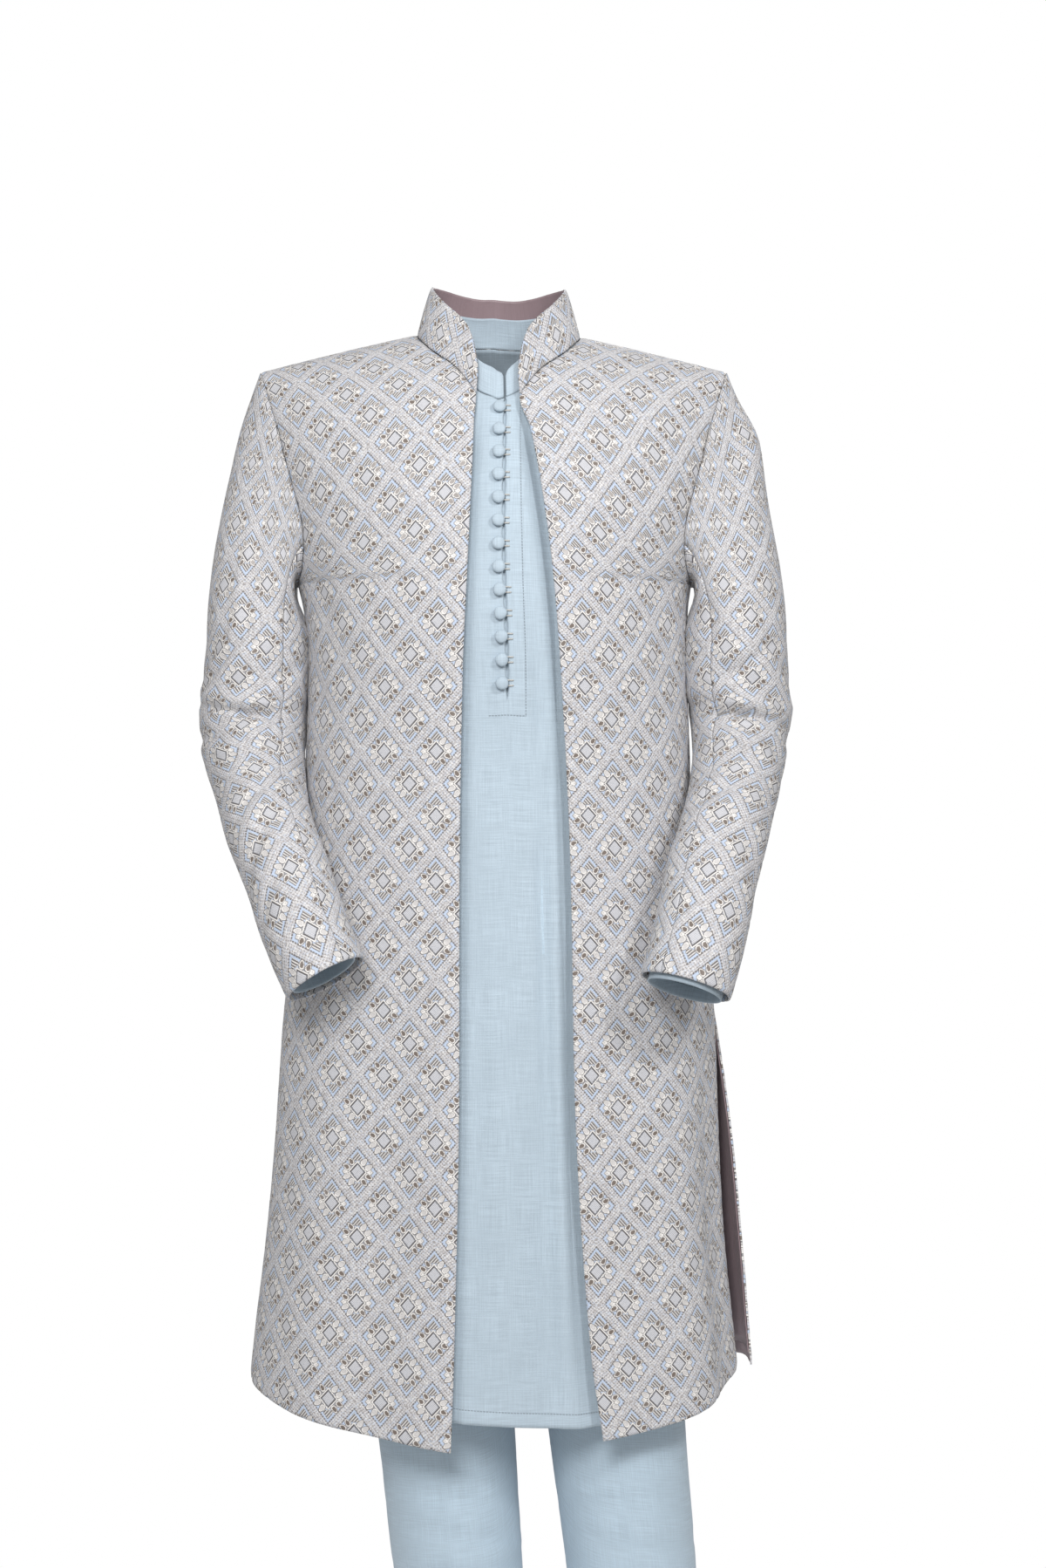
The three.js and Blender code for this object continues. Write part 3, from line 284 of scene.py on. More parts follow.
def sleeve_grid(garment, name, turns, cap_rows, arm_rows, thin=0.0, past=0.0, folds=()):
    """Rings of a sleeve: a cubic swing from the armhole into the first section, then ellipses whose plane leans
    and pitches with the arm. Each fold adds its depth times a bell across its width and a bell round the
    arm."""
    side = 1 if name == "left" else -1
    table = SECTIONS[name]
    last = len(table) - 1
    index = np.c_[np.arange(last + 1), table]
    x, y, z, across, deep, pitch, lean = (curve(index, k) for k in range(1, 8))
    psi = turns * RAD
    share = (1 + np.cos(psi)) / 2
    rise = np.arcsin(share ** (1 / ROUND)) / RAD

    def section(i):
        i = np.asarray(i, float)[:, None]
        n = np.stack([-np.tan(lean(i) * RAD), -np.tan(pitch(i) * RAD), -np.ones_like(i)], -1)
        n = unit(n)
        u = np.stack([np.cos(lean(i) * RAD), np.zeros_like(i), -np.sin(lean(i) * RAD)], -1)
        v = unit(np.cross(n, u))
        out = np.full((len(i), len(psi)), -thin)
        wrapped = (turns + 180) % 360 - 180
        for level, around, width, reach, depth, slant in folds:
            off = wrapped[None] - around
            out += depth * bell((z(i) - level - slant * off) / width) * bell(off / reach)
        centre = np.stack([x(i), y(i), z(i)], -1) + n * (past * np.clip(i - last + 1, 0, 1))[..., None]
        return (
            centre
            + u * ((across(i) + out) * np.cos(psi))[..., None]
            + v * ((deep(i) + out) * np.sin(psi))[..., None]
        )

    middle = BODY[0, 4] * (1 - np.sin(rise * RAD))
    inset = garment.inset(rise)
    before = yoke_point(rise, middle + side * arm_front(rise), True, inset)
    behind = yoke_point(rise, middle + side * arm_back(rise), False, inset)
    start = np.where((np.sin(psi) >= 0)[:, None], before, behind)
    inward = unit((ARMHOLE_CENTRE - start) * np.array([0, 1, 1]))
    lifted = start[:, 2] + garment.lift * (1 - share)
    start = np.stack([start[:, 0] * side + SLEEVE_GAP, start[:, 1], lifted], -1) - inward * garment.flare
    end = section([0])[0]
    out = mix(UNDERARM_SWING[0], SHOULDER_SWING[0], share) + mix(*garment.leave, share)
    swing = np.stack([out, 0 * share, mix(UNDERARM_SWING[1], SHOULDER_SWING[1], share)], -1)
    swing = swing + inward * mix(*garment.draw, share)[:, None]
    reach = np.stack([0 * share, 0 * share, mix(UNDERARM_REACH, SHOULDER_REACH, share)], -1)
    t = np.linspace(0, 1, cap_rows + 1)[:-1, None, None]
    cap = (1 - t) ** 3 * start + 3 * (1 - t) ** 2 * t * (start + swing)
    cap = cap + 3 * (1 - t) * t**2 * (end + reach) + t**3 * end
    grid = np.concatenate([cap, section(np.linspace(0, last, arm_rows))])
    return grid * np.array([side, 1, 1])


# The flat cut: how far a point of a grid lies along the cloth, in millimetres.
def along_rows(grid, origin=0):
    """The length walked along each row, counted from one column."""
    step = np.linalg.norm(np.diff(grid, axis=1), axis=-1)
    length = np.concatenate([np.zeros((len(grid), 1)), np.cumsum(step, axis=1)], axis=1)
    return length - length[:, origin : origin + 1]


def along_columns(grid, origin=0):
    """The length walked down each column, counted from one row and growing upwards."""
    step = np.linalg.norm(np.diff(grid, axis=0), axis=-1)
    length = np.concatenate([np.zeros((1, grid.shape[1])), np.cumsum(step, axis=0)], axis=0)
    return length[origin : origin + 1] - length


def facing_normals(grid, core, closed=False):
    """The cross product of the grid's two directions, to length one, turned away from the core."""
    wide = np.concatenate([grid[:, -1:], grid, grid[:, :1]], axis=1) if closed else grid
    across, down = np.gradient(wide, axis=1), np.gradient(wide, axis=0)
    if closed:
        across, down = across[:, 1:-1], down[:, 1:-1]
    n = np.cross(across, down)
    n /= np.maximum(np.linalg.norm(n, axis=-1, keepdims=True), 1e-9)
    away = np.sign(np.sum(n * (grid - core), axis=-1).sum())
    return n * away


# The embroidery's trellis: cell size on the cloth, and its reliefs.
CELL = (51.0, 59.4)
CELL_START = 48.7  # the height of a row of rosettes above the chest level
LINE_SLOPE = 1 / math.hypot(1 / CELL[0], 1 / CELL[1])  # millimetres of distance per unit of folded place
BAND_HALF = 5.0
ROSETTE_FROM = 8.0
BAND_RELIEF = 0.5
ROSETTE_RELIEF = 0.4
RHOMB = (7.0, 7.7)  # half width and height of the rosette's rhombus
# Petals of a quarter of the rosette: place across and up, lean in degrees, half length, half width.
PETALS = ((10.9, 4.4, 30, 3.9, 2.5), (6.3, 9.3, 52, 3.9, 2.5))


def trellis_distance(u, v):
    """How far a place on the cloth lies from the nearest trellis line: places fold into one staggered diamond
    cell, whose edge is where the two folded coordinates add up to a half."""
    p, q = u / CELL[0], (v - CELL_START) / CELL[1]
    s = np.abs(p - np.round(p)) + np.abs(q - np.round(q))
    return (0.5 - np.minimum(s, 1 - s)) * LINE_SLOPE


def embroidery_relief(u, v):
    """The band stands up on both sides of the trellis line, and the rosette in the middle of the cell."""
    d = trellis_distance(u, v)
    band = 1 - smooth((d - BAND_HALF + 1) / 2)
    return BAND_RELIEF * band + ROSETTE_RELIEF * smooth((d - ROSETTE_FROM + 1) / 2)


def rim_drop(distance, width=3.5, depth=0.9):
    """Cloth turned under at an edge, or drawn in at a seam, sinks in a bell as wide as the turn."""
    return -depth * bell(distance / width)


# Meshes.
def face(*corners):
    return np.stack(corners, -1)


def walls(grid, normal, lift, wall):
    """The outer face of a cloth, lifted off its grid, and the inner face, which keeps its wall where the outer
    sinks."""
    return grid + normal * lift[..., None], grid - normal * (wall - np.minimum(lift, 0))[..., None]


def placed(name, data):
    """An object of the scene with this data."""
    item = bpy.data.objects.new(name, data)
    bpy.context.scene.collection.objects.link(item)
    return item


def shell(name, node, outer, inner, uv, finish, slot, *, gone=None, inner_finish=None, turned=None, edges=None,
          held="draped", rests_on=()):
    """A closed wall between two grids. Cells named by `gone` are left out, `turned` marks the inner cells that
    are turned-in outer cloth, and `edges` holds distances from edges for the finish. The piece replaces its
    node."""
    rows, cols = outer.shape[:2]
    keep = np.ones((rows - 1, cols - 1), bool)
    if gone is not None:
        keep &= ~gone
    index = np.arange(rows * cols).reshape(rows, cols)
    a, b, c, d = index[:-1, :-1], index[:-1, 1:], index[1:, 1:], index[1:, :-1]
    under = rows * cols
    tops = face(a, b, c, d)[keep]
    bottoms = (face(a, d, c, b) + under)[keep]
    padded = np.pad(keep, 1)
    middle = padded[1:-1, 1:-1]
    rims = [
        face(b, a, a + under, b + under)[middle & ~padded[:-2, 1:-1]],
        face(d, c, c + under, d + under)[middle & ~padded[2:, 1:-1]],
        face(a, d, d + under, a + under)[middle & ~padded[1:-1, :-2]],
        face(c, b, b + under, c + under)[middle & ~padded[1:-1, 2:]],
    ]
    rim = np.concatenate(rims)
    quads = np.concatenate([tops, bottoms, rim])
    points = np.concatenate([outer.reshape(-1, 3), inner.reshape(-1, 3)])
    corner = points[tops[:, 0]], points[tops[:, 1]], points[tops[:, 2]]
    lift = np.cross(corner[1] - corner[0], corner[2] - corner[1])
    if np.sum(lift * (outer.reshape(-1, 3)[tops[:, 0]] - inner.reshape(-1, 3)[tops[:, 0]])) < 0:
        quads = quads[:, ::-1]
    mesh = bpy.data.meshes.new(name)
    mesh.vertices.add(len(points))
    mesh.vertices.foreach_set("co", (points * MM).ravel())
    mesh.loops.add(quads.size)
    mesh.loops.foreach_set("vertex_index", quads.ravel())
    mesh.polygons.add(len(quads))
    mesh.polygons.foreach_set("loop_start", np.arange(0, quads.size, 4))
    rounded = np.r_[np.ones(len(tops) + len(bottoms), bool), np.zeros(len(rim), bool)]
    mesh.polygons.foreach_set("use_smooth", rounded)
    cut = np.concatenate([uv.reshape(-1, 2), uv.reshape(-1, 2)]) * MM
    layer = mesh.uv_layers.new(name="cut")
    layer.data.foreach_set("uv", cut[quads.ravel()].ravel())
    if edges is not None:
        far = np.concatenate([edges.reshape(-1, 2), edges.reshape(-1, 2)]) * MM
        mesh.uv_layers.new(name="edge").data.foreach_set("uv", far[quads.ravel()].ravel())
    mesh.materials.append(finish)
    if inner_finish is not None:
        mesh.materials.append(inner_finish)
        lined = np.ones((rows - 1, cols - 1), bool) if turned is None else ~turned
        mark = np.r_[np.zeros(len(tops), int), lined[keep].astype(int), np.zeros(len(rim), int)]
        mesh.polygons.foreach_set("material_index", mark)
    mesh.update()
    mesh.validate()
    if gone is not None:
        drop_loose(mesh)
    piece = placed(name, mesh)
    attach(piece, "root")
    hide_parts(node)


def drop_loose(mesh):
    """Takes out the points that no face uses."""
    work = bmesh.new()
    work.from_mesh(mesh)
    bmesh.ops.delete(work, geom=[v for v in work.verts if not v.link_faces], context="VERTS")
    work.to_mesh(mesh)
    work.free()


# Finishes. A Wire is a shader socket that sums can be written with.
class Wire:
    def __init__(self, socket):
        self.socket, self.tree = socket, socket.id_data

    def math(self, kind, *others):
        node = self.tree.nodes.new("ShaderNodeMath")
        node.operation = kind
        for port, value in zip(node.inputs, (self, *others)):
            if isinstance(value, Wire):
                self.tree.links.new(value.socket, port)
            else:
                port.default_value = value
        return Wire(node.outputs[0])

    def __add__(self, other):
        return self.math("ADD", other)

    def __sub__(self, other):
        return self.math("SUBTRACT", other)

    def __mul__(self, other):
        return self.math("MULTIPLY", other)

    def __truediv__(self, other):
        return self.math("DIVIDE", other)

    def __abs__(self):
        return self.math("ABSOLUTE")

    def square(self):
        return self.math("MULTIPLY", self)

    def wave(self, pitch):
        """A sine between 0 and 1 that repeats at the pitch."""
        return (self * (2 * math.pi / pitch)).math("SINE").math("MULTIPLY_ADD", 0.5, 0.5)

    def above(self, edge, soft=0.25):
        """0 below the edge and 1 above it, over a soft band."""
        node = self.tree.nodes.new("ShaderNodeMapRange")
        node.interpolation_type = "SMOOTHSTEP"
        self.tree.links.new(self.socket, node.inputs["Value"])
        node.inputs["From Min"].default_value = edge - soft
        node.inputs["From Max"].default_value = edge + soft
        return Wire(node.outputs["Result"])

    def below(self, edge, soft=0.25):
        return self.above(edge, soft).math("MULTIPLY_ADD", -1.0, 1.0)

    def toward(self, other, share):
        """self where share is 0, other where it is 1."""
        return self + (other - self) * share


def linear(r, g, b):
    """A display colour of 0 to 255 as linear light."""
    def one(c):
        c /= 255
        return c / 12.92 if c <= 0.04045 else ((c + 0.055) / 1.055) ** 2.4

    return (one(r), one(g), one(b), 1)


def new_finish(name):
    finish = bpy.data.materials.new(name)
    finish.use_nodes = True
    tree = finish.node_tree
    return finish, tree, tree.nodes["Principled BSDF"]


def cut_place(tree, layer="cut"):
    """The cloth's own place on its flat cut, or its distances from two edges, in millimetres."""
    uv = tree.nodes.new("ShaderNodeUVMap")
    uv.uv_map = layer
    split = tree.nodes.new("ShaderNodeSeparateXYZ")
    tree.links.new(uv.outputs[0], split.inputs[0])
    return Wire(split.outputs[0]) * 1000.0, Wire(split.outputs[1]) * 1000.0


def joined(tree, u, v):
    node = tree.nodes.new("ShaderNodeCombineXYZ")
    tree.links.new(u.socket, node.inputs[0])
    tree.links.new(v.socket, node.inputs[1])
    return node.outputs[0]


def noise(tree, place, scale, detail=2.0):
    node = tree.nodes.new("ShaderNodeTexNoise")
    node.noise_dimensions = "2D"
    tree.links.new(place, node.inputs["Vector"])
    node.inputs["Scale"].default_value = scale
    node.inputs["Detail"].default_value = detail
    return Wire(node.outputs["Fac"])


def specks(tree, place, pitch):
    """A random number for each small speck of thread."""
    node = tree.nodes.new("ShaderNodeTexVoronoi")
    node.voronoi_dimensions = "2D"
    tree.links.new(place, node.inputs["Vector"])
    node.inputs["Scale"].default_value = 1 / pitch
    split = tree.nodes.new("ShaderNodeSeparateColor")
    tree.links.new(node.outputs["Color"], split.inputs[0])
    return Wire(split.outputs[0]), Wire(split.outputs[1])


def painted(tree, base, colour, share):
    """The base colour with another laid over it where share is 1."""
    node = tree.nodes.new("ShaderNodeMix")
    node.data_type = "RGBA"
    tree.links.new(share.socket, node.inputs["Factor"])
    for port, value in ((node.inputs["A"], base), (node.inputs["B"], colour)):
        if isinstance(value, tuple):
            port.default_value = value
        else:
            tree.links.new(value, port)
    return node.outputs["Result"]


def bumped(tree, shader, height, distance):
    node = tree.nodes.new("ShaderNodeBump")
    node.inputs["Distance"].default_value = distance
    tree.links.new(height.socket, node.inputs["Height"])
    tree.links.new(node.outputs[0], shader.inputs["Normal"])


def embroidered_finish():
    """Pale ground under a trellis of chain-stitched bands, with a rosette in each diamond cell. The two cut
    coordinates fold into one staggered cell; every thread is a band of distance in the folded place."""
    finish, tree, shader = new_finish("embroidered_brocade")
    u, v = cut_place(tree)
    place = joined(tree, u, v)
    rough = noise(tree, place, 0.9, 1.0) - 0.5
    p = (u + rough * 1.1) / CELL[0]
    q = (v - CELL_START + rough * -0.9) / CELL[1]
    x1, y1 = p - p.math("ROUND"), q - q.math("ROUND")
    x2, y2 = p.math("FRACT") - 0.5, q.math("FRACT") - 0.5
    other = (abs(x1) + abs(y1)).math("GREATER_THAN", 0.5)
    x, y = x1.toward(x2, other), y1.toward(y2, other)
    dx, dy = x * CELL[0], y * CELL[1]
    ax, ay = abs(dx), abs(dy)
    d = ((abs(x) + abs(y)) * -1.0 + 0.5) * LINE_SLOPE
    t = ax * (CELL[0] / math.hypot(*CELL)) - ay * (CELL[1] / math.hypot(*CELL))
    # Where dx*dy is positive the satin is seen dark: painted shade from how its threads lie to the light.
    silk_shade_side = (dx * dy).math("GREATER_THAN", 0.0)
    speck_a, speck_b = specks(tree, place, 1.25)
    drift = noise(tree, place, 0.018, 1.0)

    # The band of dotted chain stitches on the trellis line, with a fringe along both its edges.
    band = d.below(BAND_HALF)
    dots = (t + rough * 0.8).wave(2.5) * (d + 0.3).wave(2.1)
    fringe = abs(d - 4.6).below(0.75, 0.3) * (t.wave(2.5).above(0.4, 0.2) * 0.65 + 0.35)

    # The rosette: rhombus, four pairs of satin petals, bars north and south, leaves east and west.
    rhomb = ax / RHOMB[0] + ay / RHOMB[1]
    outline = abs(rhomb - 1.22).below(0.13, 0.04)
    shade = abs(rhomb - 0.98).below(0.12, 0.04)
    hatch = rhomb.below(0.78, 0.04) * (dx + dy).wave(1.9)
    petals = hearts = rims = None
    for px, py, lean, long, wide in PETALS:
        cx, cy = ax - px, ay - py
        cos, sin = math.cos(lean * RAD), math.sin(lean * RAD)
        a, b = (cx * cos + cy * sin) / long, (cy * cos - cx * sin) / wide
        b = b * (a * 0.3 + 1.0)
        reach = (a.square() + b.square()).math("SQRT")
        inside, heart, rim = reach.below(1.0, 0.08), reach.below(0.68, 0.1), reach.below(1.24, 0.1)
        petals = inside if petals is None else petals.math("MAXIMUM", inside)
        hearts = heart if hearts is None else hearts.math("MAXIMUM", heart)
        rims = rim if rims is None else rims.math("MAXIMUM", rim)
    bars = ax.below(4.6, 0.3) * ay.above(10.4, 0.3) * d.above(7.2, 0.3)
    stripes = (dx * 0.75 + dy * 0.66).wave(2.3)
    leaves = (abs(ax - 12.2) + ay * 0.9).below(3.3, 0.3) * ay.below(2.2, 0.3)
    dot = ((ax - 12.6).square() + ay.square()).math("SQRT").below(0.8, 0.25)
    scatter = d.above(7.0, 0.4) * d.above(8.6, 0.6) * speck_a.above(0.3, 0.2)
    # Share of the shaded silk: painted shade on those quadrants, varied by a slow noise, and darker where the
    # cut's height is over 30 mm.
    deep = (silk_shade_side * (drift.above(0.25, 0.25) * 0.5 + 0.5)).math("MAXIMUM", v.above(30.0, 60.0) * 0.6)

    silk = painted(tree, linear(*SILK_LIT), linear(*SHADED_SILK_AND_BARS), deep)

    # Each layer is laid over those before it: threads, with painted shade in the rims round the petals and in
    # the shaded silk of the hearts.
    colour = linear(*GROUND)
    for thread, share in (
        (STITCH, band * 0.92),
        (TAUPE, band * (dots * 0.6 + speck_a * 0.5).above(0.5, 0.25) * 0.5),
        (WHITE, band * speck_b.above(0.7, 0.15) * 0.5),
        (GROUND, band * speck_a.below(0.2, 0.1) * 0.4),
        (DARK, fringe * 0.7),
        (FIELD, scatter * 0.35),
        # painted shade: a dark rim round each petal
        (SHADOW, rims * 0.8),
        (CREAM, petals),
        (silk, hearts),
        (CREAM, outline),
        (FIELD, rhomb.below(0.9, 0.05) * 0.75),
        (SHADOW, hatch * 0.45),
        (DARK, shade * (silk_shade_side * 0.15 + 0.75)),
        (SHADED_SILK_AND_BARS, bars * 0.85),
        (CREAM, bars * stripes.above(0.5, 0.15)),
        (CREAM, leaves),
        (DARK, leaves * rhomb.above(2.05, 0.05) * 0.5 + dot * 0.3),
    ):
        colour = painted(tree, colour, thread if thread is silk else linear(*thread), share)
    tree.links.new(colour, shader.inputs["Base Color"])

    raised = petals.math("MAXIMUM", outline).math("MAXIMUM", bars * stripes)
    height = band * (dots * 0.45 + 0.4) + raised * 0.9 + hearts * -0.25 + leaves * 0.5
    height = height - fringe * band * 0.35 - shade * 0.45 + speck_a * 0.22
    bumped(tree, shader, height, 0.0012)
    gloss = (petals * -0.2 + 0.66) + speck_b * 0.12
    tree.links.new(gloss.socket, shader.inputs["Roughness"])
    shader.inputs["Sheen Weight"].default_value = 0.12
    return finish


# Thread and cloth colours, as they look under an even light; but the shadow colour is painted shade round the
# petals and also tints the hatch in the rhombus, and the two silk colours are the petals' satin, painted lit and
# painted shaded.
GROUND = (196, 209, 229)
STITCH = (212, 208, 208)
FIELD = (220, 219, 221)
WHITE = (250, 249, 247)
CREAM = (241, 237, 233)
TAUPE = (132, 121, 113)
DARK = (84, 74, 70)
SHADOW = (134, 124, 119)
# The petals' satin painted lit, and painted shaded; the shaded colour is also the dark of the bars.
SILK_LIT = (214, 210, 208)
SHADED_SILK_AND_BARS = (122, 110, 102)
KURTA_BLUE = (185, 201, 213)
TROUSER_BLUE = (190, 209, 223)
MAUVE = (150, 130, 134)
LOOP_CREAM = (232, 230, 224)


def stitches(distance, along, pitch=2.8):
    """A row of stitches on a line: 1 on the thread, 0 between stitches and off the line."""
    return abs(distance).below(0.42, 0.16) * along.wave(pitch).above(0.32, 0.14)


def slub_finish(name, colour, rows=None):
    """Plain weave with slubs: threads run across and down at half a millimetre, some of them thick for a while.
    `rows` adds rows of stitches from the cut place and the edge distances."""
    finish, tree, shader = new_finish(name)
    u, v = cut_place(tree)
    weft = noise(tree, joined(tree, u * 0.035, v * 1.1), 1.0, 3.0)
    warp = noise(tree, joined(tree, u * 1.2, v * 0.03), 1.0, 2.0)
    cloud = noise(tree, joined(tree, u, v), 0.012, 2.0)
    tone = weft * 0.55 + warp * 0.45
    pale = tuple(min(c * 1.04 + 3, 255) for c in colour)
    deep = tuple(c * 0.95 for c in colour)
    shade = painted(tree, linear(*deep), linear(*pale), tone.above(0.5, 0.22))
    shade = painted(tree, shade, linear(*(c * 0.97 for c in colour)), cloud.above(0.55, 0.2) * 0.5)
    grain = u.wave(0.62) * v.wave(0.62)
    height = grain * 0.35 + tone
    if rows:
        a, b = cut_place(tree, layer="edge")
        # Rows of stitches are painted darker than the cloth: painted shade in the dimples they sink.
        sewn = rows(u, v, a, b)
        shade = painted(tree, shade, linear(*(c * 0.8 for c in colour)), sewn * 0.75)
        height = height - sewn * 1.6
    tree.links.new(shade, shader.inputs["Base Color"])
    bumped(tree, shader, height, 0.00035)
    shader.inputs["Roughness"].default_value = 0.62
    shader.inputs["Sheen Weight"].default_value = 0.15
    return finish


def kurta_front_rows(u, v, a, b):
    """Stitches along the hem, down the facing's left edge and across its foot."""
    facing = stitches(a - FACING_HALF, v) * v.above(FACING_FOOT, 0.3)
    foot = stitches(v - FACING_FOOT, u) * abs(a).below(FACING_HALF, 0.3)
    return stitches(b - HEM_STITCH, u).math("MAXIMUM", facing).math("MAXIMUM", foot)


def hem_rows(u, v, a, b):
    """Stitches along a hem."""
    return stitches(b - HEM_STITCH, u)


def satin_finish():
    """Lining satin: fine threads down the cloth and a soft gloss."""
    finish, tree, shader = new_finish("mauve_satin")
    u, v = cut_place(tree)
    thread = noise(tree, joined(tree, u * 1.5, v * 0.02), 1.0, 2.0)
    # The fold noise streaks the satin paler and darker: painted sheen and shade of soft folds, over the threads'
    # own tone.
    fold = noise(tree, joined(tree, u * 0.05, v * 0.006), 1.0, 1.0)
    deep, pale = (linear(*(c * k for c in MAUVE)) for k in (0.92, 1.06))
    shade = painted(tree, deep, pale, thread * 0.5 + fold * 0.5)
    tree.links.new(shade, shader.inputs["Base Color"])
    bumped(tree, shader, thread, 0.0002)
    shader.inputs["Roughness"].default_value = 0.38
    shader.inputs["Sheen Weight"].default_value = 0.1
    return finish


def twist_finish():
    """Loop cord: two plies that wind round each other."""
    finish, tree, shader = new_finish("loop_cord")
    u, v = cut_place(tree)
    ply = (u + v * 2.0).wave(1.1)
    # The cord is painted darker between its plies: painted shade in the grooves.
    shade = painted(tree, linear(*(c * 0.85 for c in LOOP_CREAM)), linear(*LOOP_CREAM), ply)
    tree.links.new(shade, shader.inputs["Base Color"])
    bumped(tree, shader, ply, 0.0002)
    shader.inputs["Roughness"].default_value = 0.6
    return finish


HEM_STITCH = 13.0  # from a hem up to its row of stitches
FACING_HALF, FACING_FOOT = 17.0, -127.0  # the slit's facing: half its width, and its foot on the cut
BROCADE, SATIN = embroidered_finish(), satin_finish()
KURTA_FRONT_CLOTH = slub_finish("kurta_slub_stitched", KURTA_BLUE, kurta_front_rows)
KURTA_HEMMED = slub_finish("kurta_slub_hemmed", KURTA_BLUE, hem_rows)
KURTA_CLOTH = slub_finish("kurta_slub", KURTA_BLUE)
TROUSER_CLOTH = slub_finish("trouser_slub", TROUSER_BLUE, hem_rows)
CORD = twist_finish()

# Coat fronts: from the front edge to the armhole and the side seam.
YOKE_ROWS, SKIRT_ROWS, FRONT_COLS = 96, 262, 82
TURN_IN = 28.0  # width of the brocade turned in behind the front edges and the hem


def skirt_levels(count, foot):
    return np.linspace(CHEST_LEVEL, foot, count + 1)[1:]


def body_core(grid):
    return np.stack([np.full(grid.shape[:2], 4.0), np.zeros(grid.shape[:2]), grid[..., 2] - 60], -1)


def soft_dents(u, v, dents):
    """Creases: each is a bell across its width, a wider bell along its length, at a slant."""
    out = np.zeros_like(u)
    for at_u, at_v, slant, length, width, depth in dents:
        c, s = math.cos(slant * RAD), math.sin(slant * RAD)
        a, b = (u - at_u) * c + (v - at_v) * s, (v - at_v) * c - (u - at_u) * s
        out += depth * bell(a / length) * bell(b / width)
    return out


def coat_front(name, side):
    grid = coat_front_grid(side, yoke_rises(YOKE_ROWS), skirt_levels(SKIRT_ROWS, COAT_FOOT), FRONT_COLS)
    level = np.r_[grid[:YOKE_ROWS, 0, 2], skirt_levels(SKIRT_ROWS, COAT_FOOT)]
    start = (grid[:, 0, 0] - edge_at[side](level)) * side
    start = start + 0.5 * np.abs(edge_at[side](level) - edge_at[side](CHEST_LEVEL))
    u = along_rows(grid) + start[:, None]
    v = along_columns(grid, YOKE_ROWS - 1)
    width = along_rows(grid)
    from_side = width[:, -1:] - width
    from_hem = v - v[-1:]
    normal = facing_normals(grid, body_core(grid))
    lift = embroidery_relief(u, v) + rim_drop(width) + rim_drop(from_hem) + rim_drop(from_side, 2.2, 0.45)
    lift += soft_dents(u, v, FRONT_DENTS[name])
    lift[:YOKE_ROWS] += rim_drop(v[:1] - v[:YOKE_ROWS], 2.2, 0.45)
    turned = (width[:-1, :-1] < TURN_IN) | (from_hem[:-1, :-1] < TURN_IN)
    node = "coat_front_" + name
    shell(node + "_cloth", node, *walls(grid, normal, lift, COAT_WALL), face(u, v), BROCADE, "brocade",
          inner_finish=SATIN, turned=turned, rests_on=["kurta_front"])


# Creases of the fronts, on the cut: place across and up from the chest level, slant, length, width, depth.
FRONT_DENTS = {
    "right": (
        (150, -30, 62, 60, 14, -1.6), (165, -95, 55, 50, 12, -1.2), (150, -190, 20, 50, 16, -1.0),
        (60, -480, 92, 130, 22, -1.0),
    ),
    "left": (
        (110, -25, 118, 60, 14, -1.6), (125, -100, 122, 50, 12, -1.2), (110, -195, 160, 50, 16, -1.0),
        (40, -500, 88, 130, 22, -1.0),
    ),
}
coat_front("right", -1)
coat_front("left", 1)


# Backs: the coat's with its satin lining, and the kurta's.
def back_places(neck, count, fill):
    """Places across a back: even turns outside the neck points, and straight between them."""
    reach = neck[-1][0]
    right, left = outwards(NECK_SHIFT - reach, -1, count)[::-1], outwards(NECK_SHIFT + reach, 1, count)
    return np.r_[right, np.linspace(NECK_SHIFT - reach, NECK_SHIFT + reach, fill + 1)[1:-1], left]


def panel(node, garment, front, places, neck, rows, foot, hem, finish, slot, wall, *, relief=False, dents=(),
          **more):
    """A back or a kurta panel, from armhole to armhole, sunk a little at its edges. rows are the counts of its
    yoke rows and its skirt rows."""
    grid = across_grid(garment, front, places, neck, yoke_rises(rows[0]), skirt_levels(rows[1], foot), foot, hem)
    u = along_rows(grid, int(np.argmin(np.abs(places - NECK_SHIFT))))
    v = along_columns(grid, rows[0] - 1)
    near = np.minimum(u - u[:, :1], u[:, -1:] - u)
    lift = rim_drop(near, 2.2, 0.45) + rim_drop(v - v[-1:], 3.0, 0.5) + soft_dents(u, v, dents)
    if relief:
        lift = lift + embroidery_relief(u, v)
    normal = facing_normals(grid, body_core(grid))
    shell(node + "_cloth", node, *walls(grid, normal, lift, wall), face(u, v), finish, slot,
          edges=face(near, v - v[-1:]), **more)


BACK_DENTS = (
    (-95, 60, 112, 90, 15, -1.6), (98, 55, 68, 90, 15, -1.5), (-120, -60, 78, 70, 16, -1.8),
    (118, -70, 100, 70, 16, -1.7), (-20, -150, 4, 80, 12, -1.3), (35, -190, -6, 85, 12, -1.5),
    (0, -420, 90, 200, 18, -1.4), (-70, -560, 92, 160, 20, 1.2),
)
panel("coat_back", COAT, False, back_places(BACK_NECK, 38, 44), BACK_NECK, (70, 215), COAT_FOOT,
      coat_hem, BROCADE, "brocade", COAT_WALL, relief=True, dents=BACK_DENTS, inner_finish=SATIN,
      rests_on=["kurta_back"])


LINING_HEM = 12.0
LINING_FROM = SLIT_TOP + 60


def lining_hem(turn):
    """The lining ends a little above the coat's hem."""
    return coat_hem(turn) + LINING_HEM


